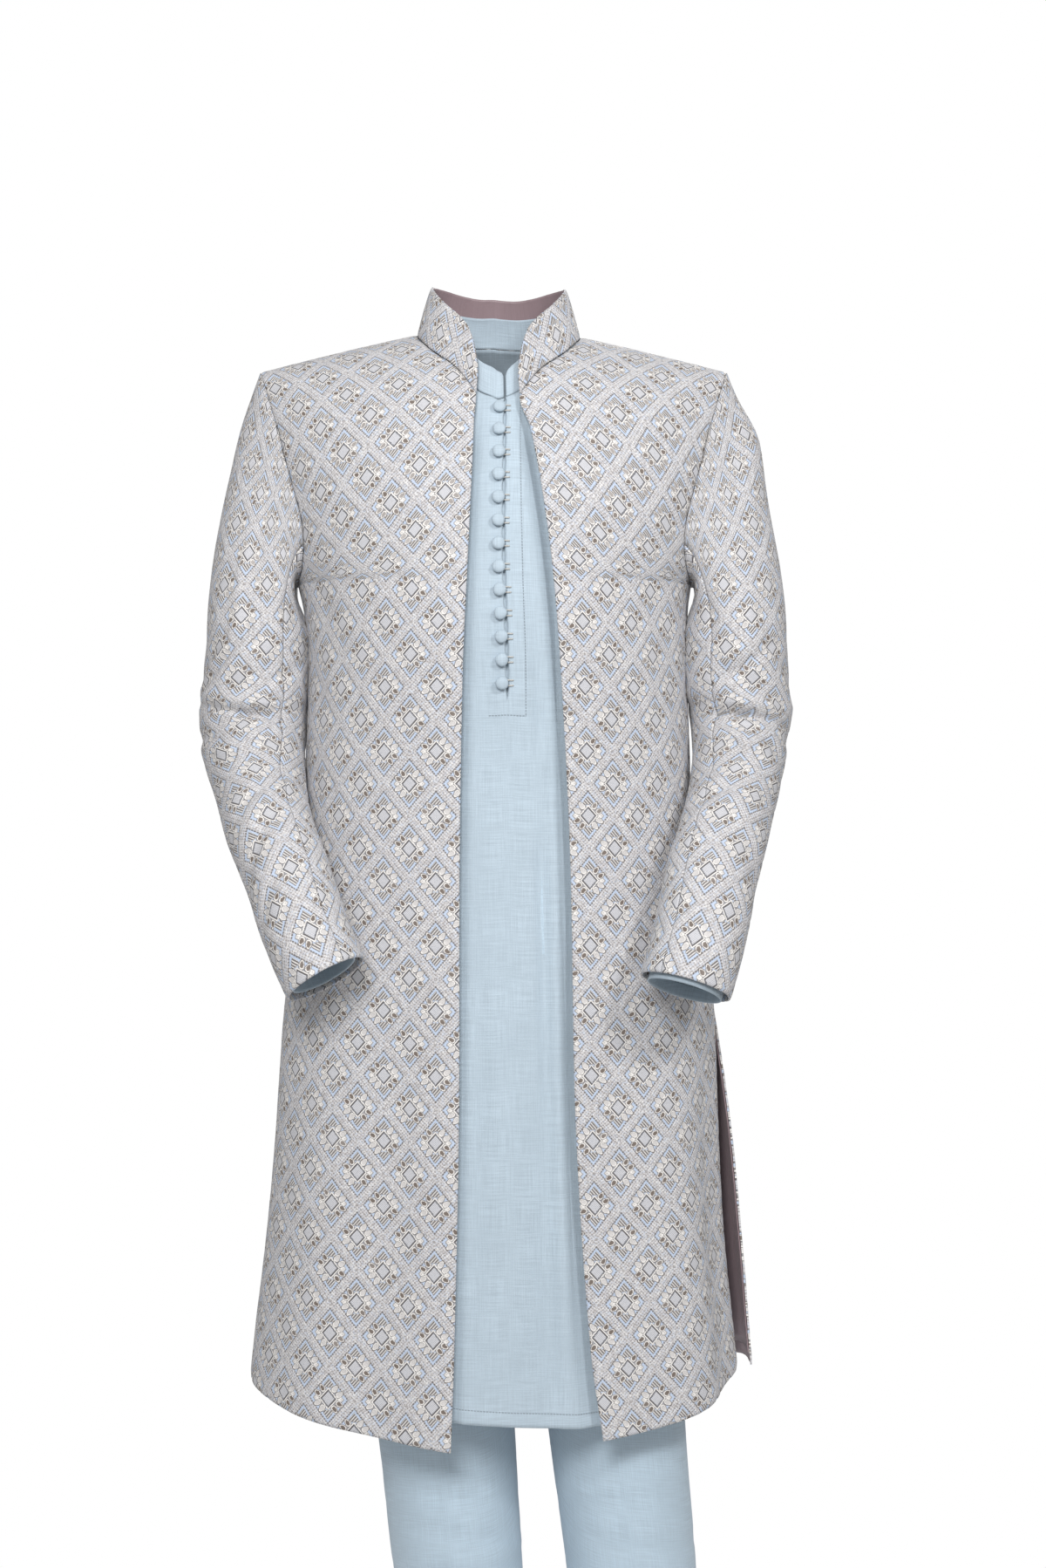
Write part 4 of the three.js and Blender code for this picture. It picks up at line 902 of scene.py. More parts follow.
def lining():
    """Satin inside the back skirt, from above the slit tops to just over the hem."""
    places = back_places(BACK_NECK, 26, 20)
    levels = np.linspace(LINING_FROM, COAT_FOOT, 60)
    grid = across_grid(COAT, False, places, BACK_NECK, [], levels, COAT_FOOT, lining_hem, 1.8 + REST)
    u = along_rows(grid, grid.shape[1] // 2)
    v = along_columns(grid)
    normal = facing_normals(grid, body_core(grid))
    shell("coat_lining_satin", "coat_back_lining", grid, grid - normal * 0.8, face(u, v), SATIN, "lining",
          held="hung", rests_on=["coat_back_cloth"])


lining()

# Collars: bands on the necklines.
NECK_CENTRE = np.array([NECK_SHIFT, -25.0])


def resampled(points, step):
    """A line of points at an even step along it."""
    length = np.r_[0, np.cumsum(np.linalg.norm(np.diff(points, axis=0), axis=-1))]
    at = np.linspace(0, length[-1], max(2, int(round(length[-1] / step)) + 1))
    return np.stack([np.interp(at, length, points[:, k]) for k in range(3)], -1), at


def softened(points, passes):
    """Each point inside a line moves to the mean of itself and its neighbours, some times over."""
    points = points.copy()
    for _ in range(passes):
        points[1:-1] = (points[:-2] + 2 * points[1:-1] + points[2:]) / 4
    return points


def collar(name, node, base, height, end, rounding, close, wall, finish, slot, rows=16, relief=False, **more):
    """A band that stands on its base line and closes in on the neck as it rises. Its height at a place is that
    of a quarter ellipse near each front end."""
    base, along = resampled(softened(base, 2), 1.7)
    near = np.clip(np.minimum(along, along[-1] - along) / rounding, 0, 1)
    top = mix(end, height, np.sqrt(1 - (1 - near) ** 2))
    up = np.linspace(0, 1, rows)[:, None]
    inward = unit(NECK_CENTRE - base[:, :2])
    tall = top[None] * up
    u, v = np.broadcast_to(along - along[-1] / 2, tall.shape), tall
    belly = 0.8 * np.sin(np.pi * up)
    rim = np.minimum(np.minimum(along, along[-1] - along)[None], (1 - up) * top[None])
    lift = rim_drop(rim, 2.0, 0.5) + rim_drop(tall, 2.0, 0.5)
    if relief:
        lift = lift + embroidery_relief(u, v)

    def stood(deeper):
        step = SEAM + deeper + close * tall / height - belly
        level = (base[None, :, 2] + SEAM + tall)[..., None]
        return np.concatenate([base[None, :, :2] + inward[None] * step[..., None], level], -1)

    shell(name, node, stood(-lift), stood(wall - np.minimum(lift, 0)), face(u, v), finish, slot,
          edges=face(np.minimum(along, along[-1] - along)[None] + 0 * tall, top[None] - tall), **more)


def coat_neck(side):
    return coat_front_grid(side, np.linspace(NECK_START[1], 90, 30), [], 2)[:, 0]


behind = NECK_SHIFT + np.linspace(-NECKLINE[-1][1], NECKLINE[-1][1], 40)
coat_back_neck = across_grid(COAT, False, behind, BACK_NECK, [90], [], COAT_FOOT, coat_hem)[0]
coat_neck_edge = np.concatenate([coat_neck(-1), coat_back_neck[1:-1], coat_neck(1)[::-1]])
collar("coat_collar_cloth", "coat_collar", coat_neck_edge, 45, 16, 34, 13, COAT_WALL, BROCADE, "brocade",
       rows=24, relief=True, inner_finish=SATIN, rests_on=["coat_back_cloth"])

# Coat sleeves: an upper and an under piece each.
CAP_ROWS, ARM_ROWS, UPPER_COLS, UNDER_COLS = 22, 150, 92, 50
CUFF_TURN_IN = 26.0
# Finer creases beside the folds of the solid, after broad bulges on the arm's inner side (180 degrees), which
# close the sleeve against the body: level, place round the arm, width, reach, depth, slant.
CREASES = {
    "right": (
        (-282, 180, 46, 48, 7.5, 0), (-256, 180, 22, 44, 6.0, 0), (-335, 165, 55, 35, 2.4, 0),
        (-335, -165, 55, 30, 1.6, 0), (-335, -145, 60, 26, 6.5, 0), (-371, 82, 4.5, 75, -5.0, -0.26),
        (-356, 78, 7, 62, 3.6, -0.24), (-312, 60, 6, 50, -4.2, 0.75), (-298, 62, 7, 46, 2.6, 0.75),
        (-334, 118, 6, 42, -3.0, 0.5), (-398, 60, 6, 50, -3.0, -0.3), (-412, 62, 8, 44, 2.4, -0.3),
        (-452, 108, 7, 48, -3.2, 0.42), (-468, 106, 8, 44, 1.8, 0.42), (-492, 85, 8, 52, -2.4, 0.55),
        (-536, 70, 8, 48, -2.2, 0.5), (-280, 120, 7, 34, -2.6, 0.8), (-330, -90, 8, 60, -3.4, 0.3),
        (-366, -85, 6, 60, 3.0, -0.2), (-392, -90, 7, 65, -4.2, 0.1), (-430, -80, 9, 60, -2.8, 0.3),
        (-500, -90, 12, 60, -2.2, 0.2), (-352, 8, 8, 26, 2.6, 0.0), (-384, 6, 6, 26, -2.4, 0.0),
    ),
    "left": (
        (-290, 180, 62, 48, 8.5, 0), (-256, 180, 24, 44, 7.0, 0), (-335, 165, 55, 35, 4.4, 0),
        (-335, -165, 55, 30, 3.0, 0), (-335, -145, 60, 26, 6.5, 0), (-356, 146, 8, 30, -5.0, 0.0),
        (-376, 80, 4.5, 70, -5.0, 0.05), (-360, 86, 7, 60, 3.4, 0.08), (-322, 100, 6, 50, -3.4, -0.5),
        (-306, 104, 7, 44, 2.2, -0.5), (-400, 70, 6, 50, -3.0, 0.3), (-416, 72, 8, 46, 2.4, 0.3),
        (-456, 104, 7, 48, -3.0, -0.34), (-472, 102, 8, 44, 1.8, -0.34), (-496, 80, 8, 52, -2.2, -0.5),
        (-540, 75, 8, 48, -2.0, -0.4), (-282, 120, 7, 34, -2.6, -0.8), (-334, -90, 8, 60, -3.4, 0.2),
        (-370, -85, 6, 60, 3.0, -0.2), (-396, -90, 7, 65, -4.2, 0.1), (-434, -80, 9, 60, -2.8, 0.3),
        (-505, -90, 12, 60, -2.2, 0.2), (-356, 8, 8, 26, 2.2, 0.0), (-388, 6, 6, 26, -2.4, 0.0),
    ),
}


def ring_normals(grid):
    """Normals of a ringed sleeve, away from its centre line; those of the first ring stay in the armhole's
    plane."""
    core = np.broadcast_to(grid.mean(axis=1, keepdims=True), grid.shape)
    normal = facing_normals(grid, core, closed=True)
    normal[0, :, 0] = 0
    return unit(normal)


CAP_FULLNESS = {"right": (3.0, -60.0), "left": (10.0, -92.0)}


def cap_fullness(name, piece):
    """The cap stands out below the shoulder seam: a bell in height times the place outside the armhole's
    plane."""
    depth, level = CAP_FULLNESS[name]
    outside = smooth((np.abs(piece[..., 0]) - 224) / 22)
    return depth * outside * bell((piece[..., 2] - level) / 52)


def coat_sleeve(name):
    """Both pieces share the seams' places; heights on the cut follow the arm's centre line below the cap."""
    upper = np.linspace(-BACK_SEAM_TURN, FRONT_SEAM_TURN, UPPER_COLS)
    under = np.linspace(FRONT_SEAM_TURN, 360 - BACK_SEAM_TURN, UNDER_COLS)
    turns = np.r_[upper[:-1], under[:-1]]
    folds = (*SLEEVE_FOLDS, *CREASES[name])
    grid = sleeve_grid(COAT, name, turns, CAP_ROWS, ARM_ROWS, folds=folds)
    normal = ring_normals(grid)
    centre = grid[CAP_ROWS:].mean(axis=1)
    down = np.r_[0, np.cumsum(np.linalg.norm(np.diff(centre, axis=0), axis=-1))]
    cap = along_columns(grid[: CAP_ROWS + 1], CAP_ROWS)[:-1]
    height = np.concatenate([cap, np.broadcast_to(-down[:, None], (ARM_ROWS, len(turns)))])

    def ringed(field):
        return np.concatenate([field, field[:, :1]], axis=1)

    for part, cut, origin in (
        ("upper", slice(0, UPPER_COLS), int(np.argmin(np.abs(upper)))),
        ("under", slice(UPPER_COLS - 1, None), UNDER_COLS // 2),
    ):
        piece, n, v = ringed(grid)[:, cut].copy(), ringed(normal)[:, cut], ringed(height)[:, cut]
        piece[:, 0] += (piece[:, 1] - piece[:, 0]) * 0.07
        piece[:, -1] += (piece[:, -2] - piece[:, -1]) * 0.07
        width = along_rows(piece)
        u = width - width[:, origin : origin + 1]
        near = np.minimum(width, width[:, -1:] - width)
        lift = embroidery_relief(u, v) + rim_drop(near, 2.2, 0.45) + rim_drop(v - v[-1:], 3.0, 0.7)
        lift += rim_drop(v[:1] - v, 2.0, 0.3) + cap_fullness(name, piece)
        turned = np.broadcast_to((v - v[-1:] < CUFF_TURN_IN)[:-1, :-1], (len(v) - 1, v.shape[1] - 1))
        node = "coat_sleeve_" + name + "_" + part
        shell(node + "_cloth", node, *walls(piece, n, lift, COAT_WALL), face(u, v), BROCADE, "brocade",
              inner_finish=SATIN, turned=turned, rests_on=["kurta_sleeve_" + name])


coat_sleeve("right")
coat_sleeve("left")

# Kurta front: the slit stands open a little between its buttons, over a facing.
KURTA_NECK = KURTA_BACK_NECK[-1][0]  # half of the kurta's neck
SLIT_PLACE, SLIT_HALF, SLIT_END, FACING_END = 12.5, 1.9, -352.0, -366.0
BUTTON_COUNT, BUTTON_TOP, BUTTON_STEP, BUTTON_SET = 13, -84.0, 21.0, -5.2
KURTA_DENTS = (
    (33, -330, 91, 250, 7, -4.2), (46, -300, 90, 280, 9, 3.0), (-30, -560, 88, 210, 12, -3.2),
    (4, -600, 90, 180, 12, 2.2), (34, -660, 92, 130, 11, -3.0), (24, -60, 96, 110, 9, -2.0),
    (-22, -200, 84, 130, 12, -1.4), (10, -430, 60, 60, 12, -1.2), (50, -620, 90, 160, 9, 2.0),
    (-14, -420, 92, 150, 10, 1.4),
)
WAIST_LEVEL = -436.0  # the waistband's middle, which the kurta's folds stay clear of
# The hollow beside each coat front's edge: side, depth, width.
EDGE_HOLLOWS = ((1, 11.0, 11.0), (-1, 5.0, 7.0))


def edge_hollow(points, top=-70, foot=-1200):
    """How far the cloth under the coat gives way beside the coat's two front edges."""
    x, z = points[..., 0], points[..., 2]
    hollow = sum(
        depth * bell(((x - edge_at[side](z)) * side - 1) / reach) for side, depth, reach in EDGE_HOLLOWS
    )
    return hollow * smooth((top - z) / 60) * smooth((z - foot) / 60) * (points[..., 1] < 0)


def kurta_front():
    """Columns lie close near the slit. Its two edges are drawn together, to a gap that bows open between
    buttons as the square of a sine."""
    right = np.linspace(NECK_SHIFT - KURTA_NECK, SLIT_PLACE - SLIT_HALF, 36)
    left = np.linspace(SLIT_PLACE + SLIT_HALF, NECK_SHIFT + KURTA_NECK, 31)
    far_right = outwards(NECK_SHIFT - KURTA_NECK, -1, 16)[:0:-1]
    far_left = outwards(NECK_SHIFT + KURTA_NECK, 1, 16)[1:]
    places = np.r_[far_right, right, left, far_left]
    slit = len(far_right) + len(right) - 1
    yoke_rows, skirt_rows = 76, 200
    grid = across_grid(KURTA, True, places, KURTA_FRONT_NECK, yoke_rises(yoke_rows),
                       skirt_levels(skirt_rows, KURTA_FOOT), KURTA_FOOT, kurta_hem)
    width = along_rows(grid)
    z = grid[:, slit, 2]
    bow = np.sin(np.pi * (z - BUTTON_TOP) / BUTTON_STEP) ** 2 * (z < BUTTON_TOP + 8)
    open_half = (0.8 + 0.85 * bow) * smooth((z - SLIT_END) / 14)
    own_half = (width[:, slit + 1] - width[:, slit]) / 2
    pull = np.where(z > SLIT_END, own_half - open_half, 0)
    for columns, edge, way in ((slice(0, slit + 1), slit, 1), (slice(slit + 1, None), slit + 1, -1)):
        off = np.abs(width[:, columns] - width[:, edge : edge + 1])
        grid[:, columns, 0] += way * pull[:, None] * bell(off / 9)
    width = along_rows(grid)
    middle = (width[:, slit] + width[:, slit + 1]) / 2
    u = width - middle[:, None]
    v = along_columns(grid, yoke_rows - 1)
    from_slit = np.maximum(np.abs(u) - open_half[:, None], 0)
    hem = v - v[-1:]
    near = np.minimum(width, width[:, -1:] - width)
    band = smooth((np.abs(grid[..., 2] - WAIST_LEVEL) - 22) / 50)
    dents = soft_dents(u, v, KURTA_DENTS)
    lift = np.maximum(dents, 0) + np.minimum(dents, 0) * band + rim_drop(near, 3.0, 0.7)
    lift += 0.35 * (1 - smooth((hem - 12) / 2)) + rim_drop(hem, 1.6, 0.5) - edge_hollow(grid)
    held = (z > SLIT_END)[:, None]
    lift += np.where(held, rim_drop(from_slit, 1.4, 0.5) + 0.4 * (1 - smooth((np.abs(u) - 16) / 2)), 0)
    lift[:yoke_rows] += rim_drop(v[:1] - v[:yoke_rows], 2.5, 0.6)
    gone = np.zeros((len(grid) - 1, len(places) - 1), bool)
    gone[:, slit] = z[:-1] > SLIT_END + 4
    normal = facing_normals(grid, body_core(grid))
    shell("kurta_front_cloth", "kurta_front", *walls(grid, normal, lift, KURTA_WALL), face(u, v),
          KURTA_FRONT_CLOTH, "kurta_cloth", gone=gone, edges=face(u, hem), rests_on=["coat_front_right_cloth"],
          held="hung")


def placket():
    """The facing behind the slit."""
    places = SLIT_PLACE + np.linspace(-FACING_HALF, FACING_HALF, 24)
    levels = np.linspace(CHEST_LEVEL, FACING_END, 30)[1:]
    under = across_grid(KURTA, True, places, KURTA_FRONT_NECK, yoke_rises(40), levels, KURTA_FOOT, kurta_hem,
                        1.2 + REST + 1.1)
    uv = face(along_rows(under, 12), along_columns(under, 39))
    inner = under - facing_normals(under, body_core(under)) * 0.8
    shell("kurta_placket_cloth", "kurta_placket", under, inner, uv, KURTA_CLOTH, "kurta_cloth", held="hung",
          rests_on=["kurta_front_cloth"])


kurta_front()
placket()
panel("kurta_back", KURTA, False, back_places(KURTA_BACK_NECK, 22, 26), KURTA_BACK_NECK, (40, 90),
      KURTA_FOOT, kurta_hem, KURTA_HEMMED, "kurta_cloth", KURTA_WALL, rests_on=["trouser_left_back"])


def kurta_neck(front, start, end, count):
    neck = KURTA_FRONT_NECK if front else KURTA_BACK_NECK
    return across_grid(KURTA, front, np.linspace(start, end, count), neck, [90], [], KURTA_FOOT, kurta_hem)[0]


collar("kurta_collar_cloth", "kurta_collar", np.concatenate([
    kurta_neck(True, SLIT_PLACE - 1.2, NECK_SHIFT - KURTA_NECK, 40),
    kurta_neck(False, NECK_SHIFT - KURTA_NECK, NECK_SHIFT + KURTA_NECK, 50)[1:-1],
    kurta_neck(True, NECK_SHIFT + KURTA_NECK, SLIT_PLACE + 1.2, 40)]),
    28, 20, 14, 13 * 28 / 45, KURTA_WALL, KURTA_CLOTH, "kurta_cloth", rests_on=["kurta_back_cloth"])


def kurta_sleeve(name, past):
    """A plain tube inside the coat's sleeve, sewn down its underside."""
    turns = np.linspace(180, 540, 60)
    grid = sleeve_grid(KURTA, name, turns, 12, 150, thin=7.6, past=past, folds=(*SLEEVE_FOLDS, *CREASES[name]))
    u, v = along_rows(grid, 30), along_columns(grid, 12)
    normal = ring_normals(grid[:, :-1])
    normal = np.concatenate([normal, normal[:, :1]], axis=1)
    node = "kurta_sleeve_" + name
    shell(node + "_cloth", node, grid, grid - normal * KURTA_WALL, face(u, v), KURTA_HEMMED, "kurta_cloth",
          edges=face(u, v - v[-1:]), rests_on=["coat_sleeve_" + name + "_upper_cloth"])


kurta_sleeve("right", -4.0)
kurta_sleeve("left", 4.0)


# Buttons and loops.
def slit_x(z):
    """Where the middle of the slit lies at a level."""
    if z < CHEST_LEVEL:
        return float(shift_at(z) + SLIT_PLACE / SHOULDER_HALF * half_at(z))
    up = ((z - CHEST_LEVEL) / (NECK_RISE - CHEST_LEVEL)) ** (1 / ROUND)
    return float(BODY[0, 4] * (1 - up) + SLIT_PLACE / SHOULDER_HALF * arm_front(math.degrees(math.asin(up))))


def kurta_at(x, z):
    """The kurta's front at x on a level: on its ring, or on the yoke at the rise that reaches the level."""
    if z < CHEST_LEVEL:
        angle = math.asin((x - shift_at(z)) / (half_at(z) - KURTA_EASE))
        return ring_point(z, angle, KURTA_EASE, "kurta").ravel()
    rise = 45.0
    for _ in range(6):
        inset = KURTA.inset(rise) + KURTA.neck_ease * math.sin(rise * RAD)
        up = ((z - CHEST_LEVEL) / (shoulder_line(x) - inset - CHEST_LEVEL)) ** (1 / ROUND)
        rise = math.degrees(math.asin(min(1.0, float(up))))
    return yoke_point(rise, x, True, inset).ravel()


def kurta_seat(x, z):
    """A place on the kurta's front, and its outward normal there."""
    normal = unit(np.cross(kurta_at(x + 2, z) - kurta_at(x - 2, z), kurta_at(x, z + 2) - kurta_at(x, z - 2)))
    return kurta_at(x, z), normal if normal[1] < 0 else -normal


def plain(name, node, rings, uv, finish):
    """A closed mesh from a grid of rings, with its place on the cloth."""
    mesh = bpy.data.meshes.new(name)
    mesh.from_pydata((rings.reshape(-1, 3) * MM).tolist(), [], ring_faces(*rings.shape[:2]))
    layer = mesh.uv_layers.new(name="cut")
    order = np.zeros(len(mesh.loops), int)
    mesh.loops.foreach_get("vertex_index", order)
    layer.data.foreach_set("uv", (uv.reshape(-1, 2)[order] * MM).ravel())
    mesh.polygons.foreach_set("use_smooth", np.ones(len(mesh.polygons), bool))
    mesh.materials.append(finish)
    mesh.update()
    work = bmesh.new()
    work.from_mesh(mesh)
    bmesh.ops.recalc_face_normals(work, faces=work.faces)
    work.to_mesh(mesh)
    work.free()
    piece = placed(name, mesh)
    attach(piece, "root")
    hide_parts(node)


def ring_faces(rows, cols):
    """Quads between rings of points, with a face over each end."""
    index = np.arange(rows * cols).reshape(rows, cols)
    following = np.roll(index, -1, axis=1)
    quads = face(index[:-1], following[:-1], following[1:], index[1:]).reshape(-1, 4).tolist()
    return [*quads, index[0][::-1].tolist(), index[-1].tolist()]


BUTTON_OUTLINE = np.array([
    (0.4, 0), (1.6, 0.1), (1.6, 1.9), (3.6, 2.0), (5.2, 2.3), (5.9, 3.3), (6.0, 4.2), (5.6, 5.3), (4.7, 6.2),
    (3.4, 6.8), (1.8, 7.15), (0.5, 7.2),
])


def button(number):
    """A dome covered with cloth that is gathered under its rim: the radius ripples with twelve gathers, deepest
    below the rim, and the cloth dips a little between them."""
    z = BUTTON_TOP - (number - 1) * BUTTON_STEP
    seat, normal = kurta_seat(slit_x(z) + BUTTON_SET, z)
    along = np.linspace(0, len(BUTTON_OUTLINE) - 1, 30)
    whole = np.arange(len(BUTTON_OUTLINE))
    radius, high = np.interp(along, whole, BUTTON_OUTLINE[:, 0]), np.interp(along, whole, BUTTON_OUTLINE[:, 1])
    turn = np.linspace(0, 2 * np.pi, 37)[:-1]
    gather = smooth((4.6 - high) / 2.6)[:, None] * np.cos(12 * turn + 0.4 * number)[None] * 0.035
    crease = 0.02 * np.cos(3 * turn + number)[None] * smooth(radius / 6)[:, None]
    r = radius[:, None] * (1 + gather + crease)
    side = unit(np.cross(normal, [0, 0, 1.0]))
    up = np.cross(side, normal)
    points = (seat + normal * SEAM)[None, None] + normal * (high[:, None] + 0 * r)[..., None]
    points = points + side * (r * np.cos(turn))[..., None] + up * (r * np.sin(turn))[..., None]
    uv = face(r * np.cos(turn), r * np.sin(turn) + 40 * number)
    plain("button_%d_cover" % number, "button_%d" % number, points, uv, KURTA_CLOTH)


LOOP_RADIUS, LOOP_WIDE, LOOP_ROOT = 0.7, 2.6, 5.4


def loop(number):
    """A cord sewn past the slit's middle that runs round the button's shank: a round section along a smoothed
    path."""
    z = BUTTON_TOP - (number - 1) * BUTTON_STEP
    x = slit_x(z) + BUTTON_SET
    route = []
    root = LOOP_ROOT - BUTTON_SET
    for along, across in ((root, 0.9), (2.2, 1), (-0.6, 1), (-2.5, 0), (-0.6, -1), (2.2, -1), (root, -0.9)):
        place, normal = kurta_seat(x + along, z + across * LOOP_WIDE)
        route.append(place + normal * (SEAM + LOOP_RADIUS))
    path = softened(resampled(np.array(route), 1.0)[0], 3)
    tangent = unit(np.gradient(path, axis=0))
    side = unit(np.cross(tangent, [0, -1.0, 0]))
    rise = np.cross(side, tangent)
    turn = np.linspace(0, 2 * np.pi, 11)[:-1]
    c, s = np.cos(turn)[:, None], np.sin(turn)[:, None]
    points = path[:, None] + LOOP_RADIUS * (side[:, None] * c + rise[:, None] * s)
    step = np.arange(len(path))[:, None]
    uv = face(step + 0 * turn, LOOP_RADIUS * turn + 0 * step)
    plain("loop_%d_cord" % number, "loop_%d" % number, points, uv, CORD)


for number in range(1, BUTTON_COUNT + 1):
    button(number)
    loop(number)

# Trousers.
BAND_TOP, BAND_FOOT, CROTCH, HIP = -418.0, -454.0, -690.0, -585.0
LEG_LINE, LEG_LEAN, LEG_SEAM = 3.0, 0.094, 0.2
LEG = np.array([
    (-690, 88, 86, 90, 4), (-800, 84, 78, 82, 2), (-950, 82, 69, 74, -2), (-1062, 81.5, 65, 68, -2),
    (-1176, 83, 62, 66, 6), (-1300, 82, 56, 62, 12), (-1400, 81, 52, 57, 12),
])
leg_centre, leg_across, leg_deep, leg_y = (curve(LEG, k) for k in (1, 2, 3, 4))
SEAT_INSET, SEAT_CLEAR = KURTA_EASE + 1.2 + 1.6, 0.9
TROUSER_WALL = 1.2
# Folds of a leg: level, share across the panel, width, reach, depth, slant.
LEG_FOLDS = {
    ("right", True): (
        (-1092, 0.5, 7, 0.32, -2.6, 26), (-1130, 0.45, 6, 0.34, -3.2, 30), (-1150, 0.25, 6, 0.3, 2.2, -18),
        (-1168, 0.6, 7, 0.3, -2.4, -16), (-860, 0.4, 12, 0.4, -1.6, 20), (-1330, 0.5, 9, 0.5, -2.2, 6),
        (-1362, 0.4, 8, 0.5, 1.8, -8),
    ),
    ("left", True): (
        (-1100, 0.4, 7, 0.32, -2.0, 22), (-1140, 0.6, 6, 0.34, -2.6, -20), (-1172, 0.4, 7, 0.3, 1.8, 14),
        (-870, 0.6, 12, 0.4, -1.6, -20), (-1326, 0.5, 9, 0.5, -2.2, -6), (-1360, 0.6, 8, 0.5, 1.8, 8),
    ),
    ("right", False): (
        (-1080, 0.5, 9, 0.4, -2.6, 8), (-1112, 0.45, 9, 0.4, -2.8, -8), (-1150, 0.5, 9, 0.4, -2.0, 6),
        (-1340, 0.5, 10, 0.5, -1.8, 5), (-705, 0.5, 10, 0.4, -2.4, 24),
    ),
    ("left", False): (
        (-1084, 0.5, 9, 0.4, -2.6, -8), (-1116, 0.55, 9, 0.4, -2.8, 8), (-1152, 0.5, 9, 0.4, -2.0, -6),
        (-1344, 0.5, 10, 0.5, -1.8, -5), (-705, 0.5, 10, 0.4, -2.4, -24),
    ),
}


def leg_panel(name, side, front):
    """Half ellipses about a leaning line below the crotch, which pass over into the round seat above it. The
    crease is a sharp bell at the middle of the panel."""
    levels = np.linspace(-1400, BAND_FOOT - SEAM, 126)[::-1]
    share = np.linspace(0, 1, 46)
    z, t = levels[:, None], share[None]
    turn = mix(LEG_SEAM, 180 - LEG_SEAM, t) * RAD
    line = LEG_LINE + LEG_LEAN * np.maximum(0, CROTCH - z)
    way = -1 if front else 1
    x = line + side * (leg_centre(z) - leg_across(z) * np.cos(turn))
    low = np.stack([x, leg_y(z) + way * leg_deep(z) * np.sin(turn), z + 0 * t], -1)
    bend = side * mix(LEG_SEAM, 90 - LEG_SEAM / 2, t) * RAD
    high = ring_point(z, bend if front else np.pi - bend, SEAT_INSET + SEAT_CLEAR)
    grid = mix(low, high, smooth((z - CROTCH) / (HIP - CROTCH))[..., None])
    below = smooth((CROTCH - z) / 120)
    folds = np.zeros(grid.shape[:2])
    for level, around, width, reach, depth, slant in LEG_FOLDS[name, front]:
        folds += depth * bell((z - level - slant * (t - around)) / width) * bell((t - around) / reach)
    u, v = along_rows(grid, 23), along_columns(grid, 0)
    near = np.minimum(u - u[:, :1], u[:, -1:] - u)
    crease = 1.8 * np.exp(-np.abs(u) / 3.2) * below
    lift = folds + crease + rim_drop(near, 2.5, 0.7) + 0.3 * (1 - smooth((v - v[-1:] - 24) / 2))
    lift -= edge_hollow(grid, foot=-760) * front
    core = np.stack([line + side * leg_centre(z) + 0 * t, leg_y(z) + 0 * t, z + 0 * t], -1)
    normal = facing_normals(grid, core)
    piece = "trouser_" + name + ("_front" if front else "_back")
    shell(piece + "_cloth", piece, *walls(grid, normal, lift, TROUSER_WALL), face(u, v), TROUSER_CLOTH,
          "trouser_cloth", edges=face(near, v - v[-1:] - 12), held="hung", rests_on=["waistband_cloth"])


def waistband():
    turn = np.linspace(-np.pi, np.pi, 120)[None]
    z = np.linspace(BAND_TOP, BAND_FOOT, 12)[:, None]
    grid = ring_point(z, turn, SEAT_INSET)
    u, v = along_rows(grid, 60), along_columns(grid)
    normal = facing_normals(grid, body_core(grid))
    lift = rim_drop(np.minimum(-v, v - v[-1:]), 2.0, 0.4) - edge_hollow(grid)
    shell("waistband_cloth", "trouser_waistband", *walls(grid, normal, lift, 2.0), face(u, v), TROUSER_CLOTH,
          "trouser_cloth", edges=face(u, v - v[-1:] + 9), held="stretched", rests_on=["kurta_back_cloth"])


waistband()
for name, side in (("right", -1), ("left", 1)):
    leg_panel(name, side, True)
    leg_panel(name, side, False)


# Stage, light and camera, in metres.
FLOOR_PLACE, FLOOR_RADIUS, FLOOR_LEVEL = 0.03, 0.68, -1.402
ROOM_STRENGTH, BACKDROP_STRENGTH = 0.38, 1.0
CAMERA_PLACE, CAMERA_LENS = (0.028, -2.5, -0.428), 60.07


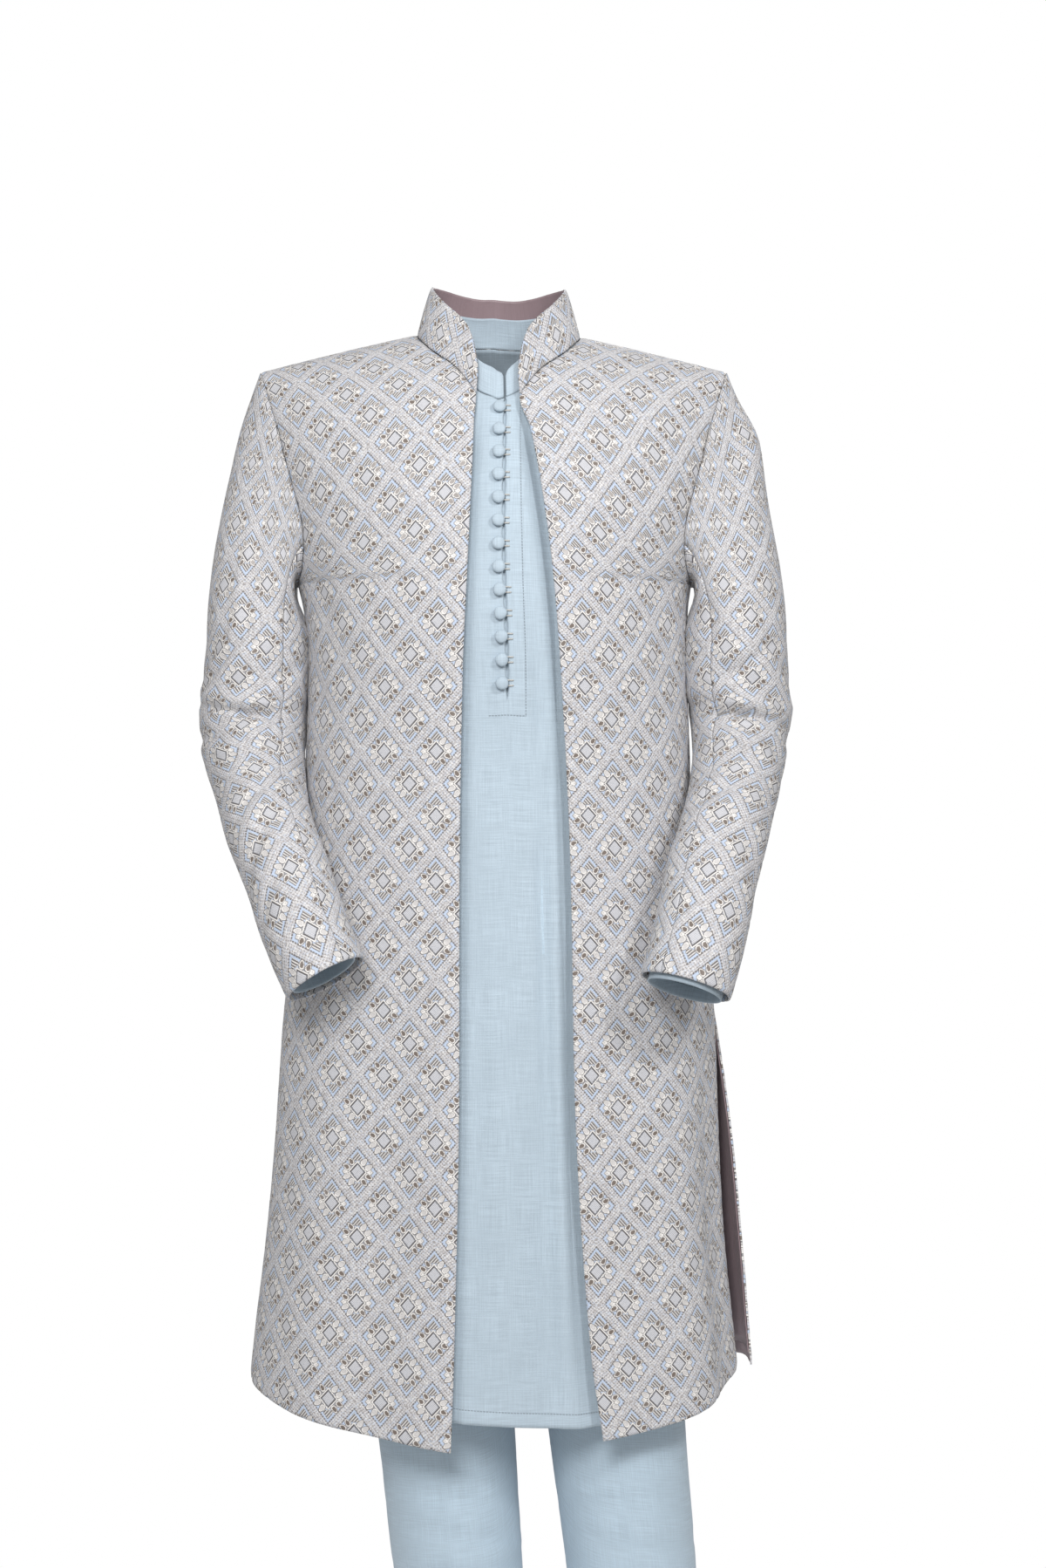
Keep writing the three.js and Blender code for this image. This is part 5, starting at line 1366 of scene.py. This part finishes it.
def floor():
    """A pale round floor under the ankles."""
    turn = np.linspace(0, 2 * np.pi, 97)[:-1]
    x, y = FLOOR_PLACE + FLOOR_RADIUS * np.cos(turn), FLOOR_RADIUS * np.sin(turn)
    rim = np.stack([x, y, 0 * turn + FLOOR_LEVEL], -1)
    mesh = bpy.data.meshes.new("pale_floor")
    mesh.from_pydata(rim.tolist(), [], [list(range(96))])
    paint, _, shader = new_finish("floor_paint")
    shader.inputs["Base Color"].default_value = linear(246, 246, 246)
    shader.inputs["Roughness"].default_value = 0.9
    mesh.materials.append(paint)
    placed("pale_floor", mesh)


floor()


def lamp(name, place, aim, size, power):
    """A round lamp, turned to its aim."""
    data = bpy.data.lights.new(name, "AREA")
    data.shape, data.size, data.energy = "DISK", size, power
    light = placed(name, data)
    light.location = place
    away = np.array(place) - np.array(aim)
    light.rotation_euler = (math.atan2(math.hypot(away[0], away[1]), away[2]), 0, math.atan2(away[0], -away[1]))


lamp("key_light", (1.2, -1.9, 0.8), (0, 0, -0.3), 0.4, 20)
lamp("fill_light", (-0.3, -2.3, 0.45), (0, 0, -0.1), 0.8, 38)
lamp("back_light", (0.6, 2.4, 0.9), (0, 0, -0.6), 1.6, 30)

world = bpy.data.worlds.new("pale_room")
world.use_nodes = True
bpy.context.scene.world = world
sky = world.node_tree
room = sky.nodes["Background"]
room.inputs["Color"].default_value = (1, 1, 1, 1)
room.inputs["Strength"].default_value = ROOM_STRENGTH
backdrop = sky.nodes.new("ShaderNodeBackground")
backdrop.inputs["Color"].default_value = (1, 1, 1, 1)
backdrop.inputs["Strength"].default_value = BACKDROP_STRENGTH
rays = sky.nodes.new("ShaderNodeLightPath")
either = sky.nodes.new("ShaderNodeMixShader")
sky.links.new(rays.outputs["Is Camera Ray"], either.inputs[0])
sky.links.new(room.outputs[0], either.inputs[1])
sky.links.new(backdrop.outputs[0], either.inputs[2])
sky.links.new(either.outputs[0], sky.nodes["World Output"].inputs["Surface"])
bpy.context.scene.view_settings.view_transform = "Standard"

view = bpy.data.cameras.new("front_view")
view.sensor_fit, view.sensor_height, view.lens = "VERTICAL", 36.0, CAMERA_LENS
view.clip_end = 20
camera = placed("front_view", view)
camera.location, camera.rotation_euler = CAMERA_PLACE, (math.pi / 2, 0, 0)
bpy.context.scene.camera = camera
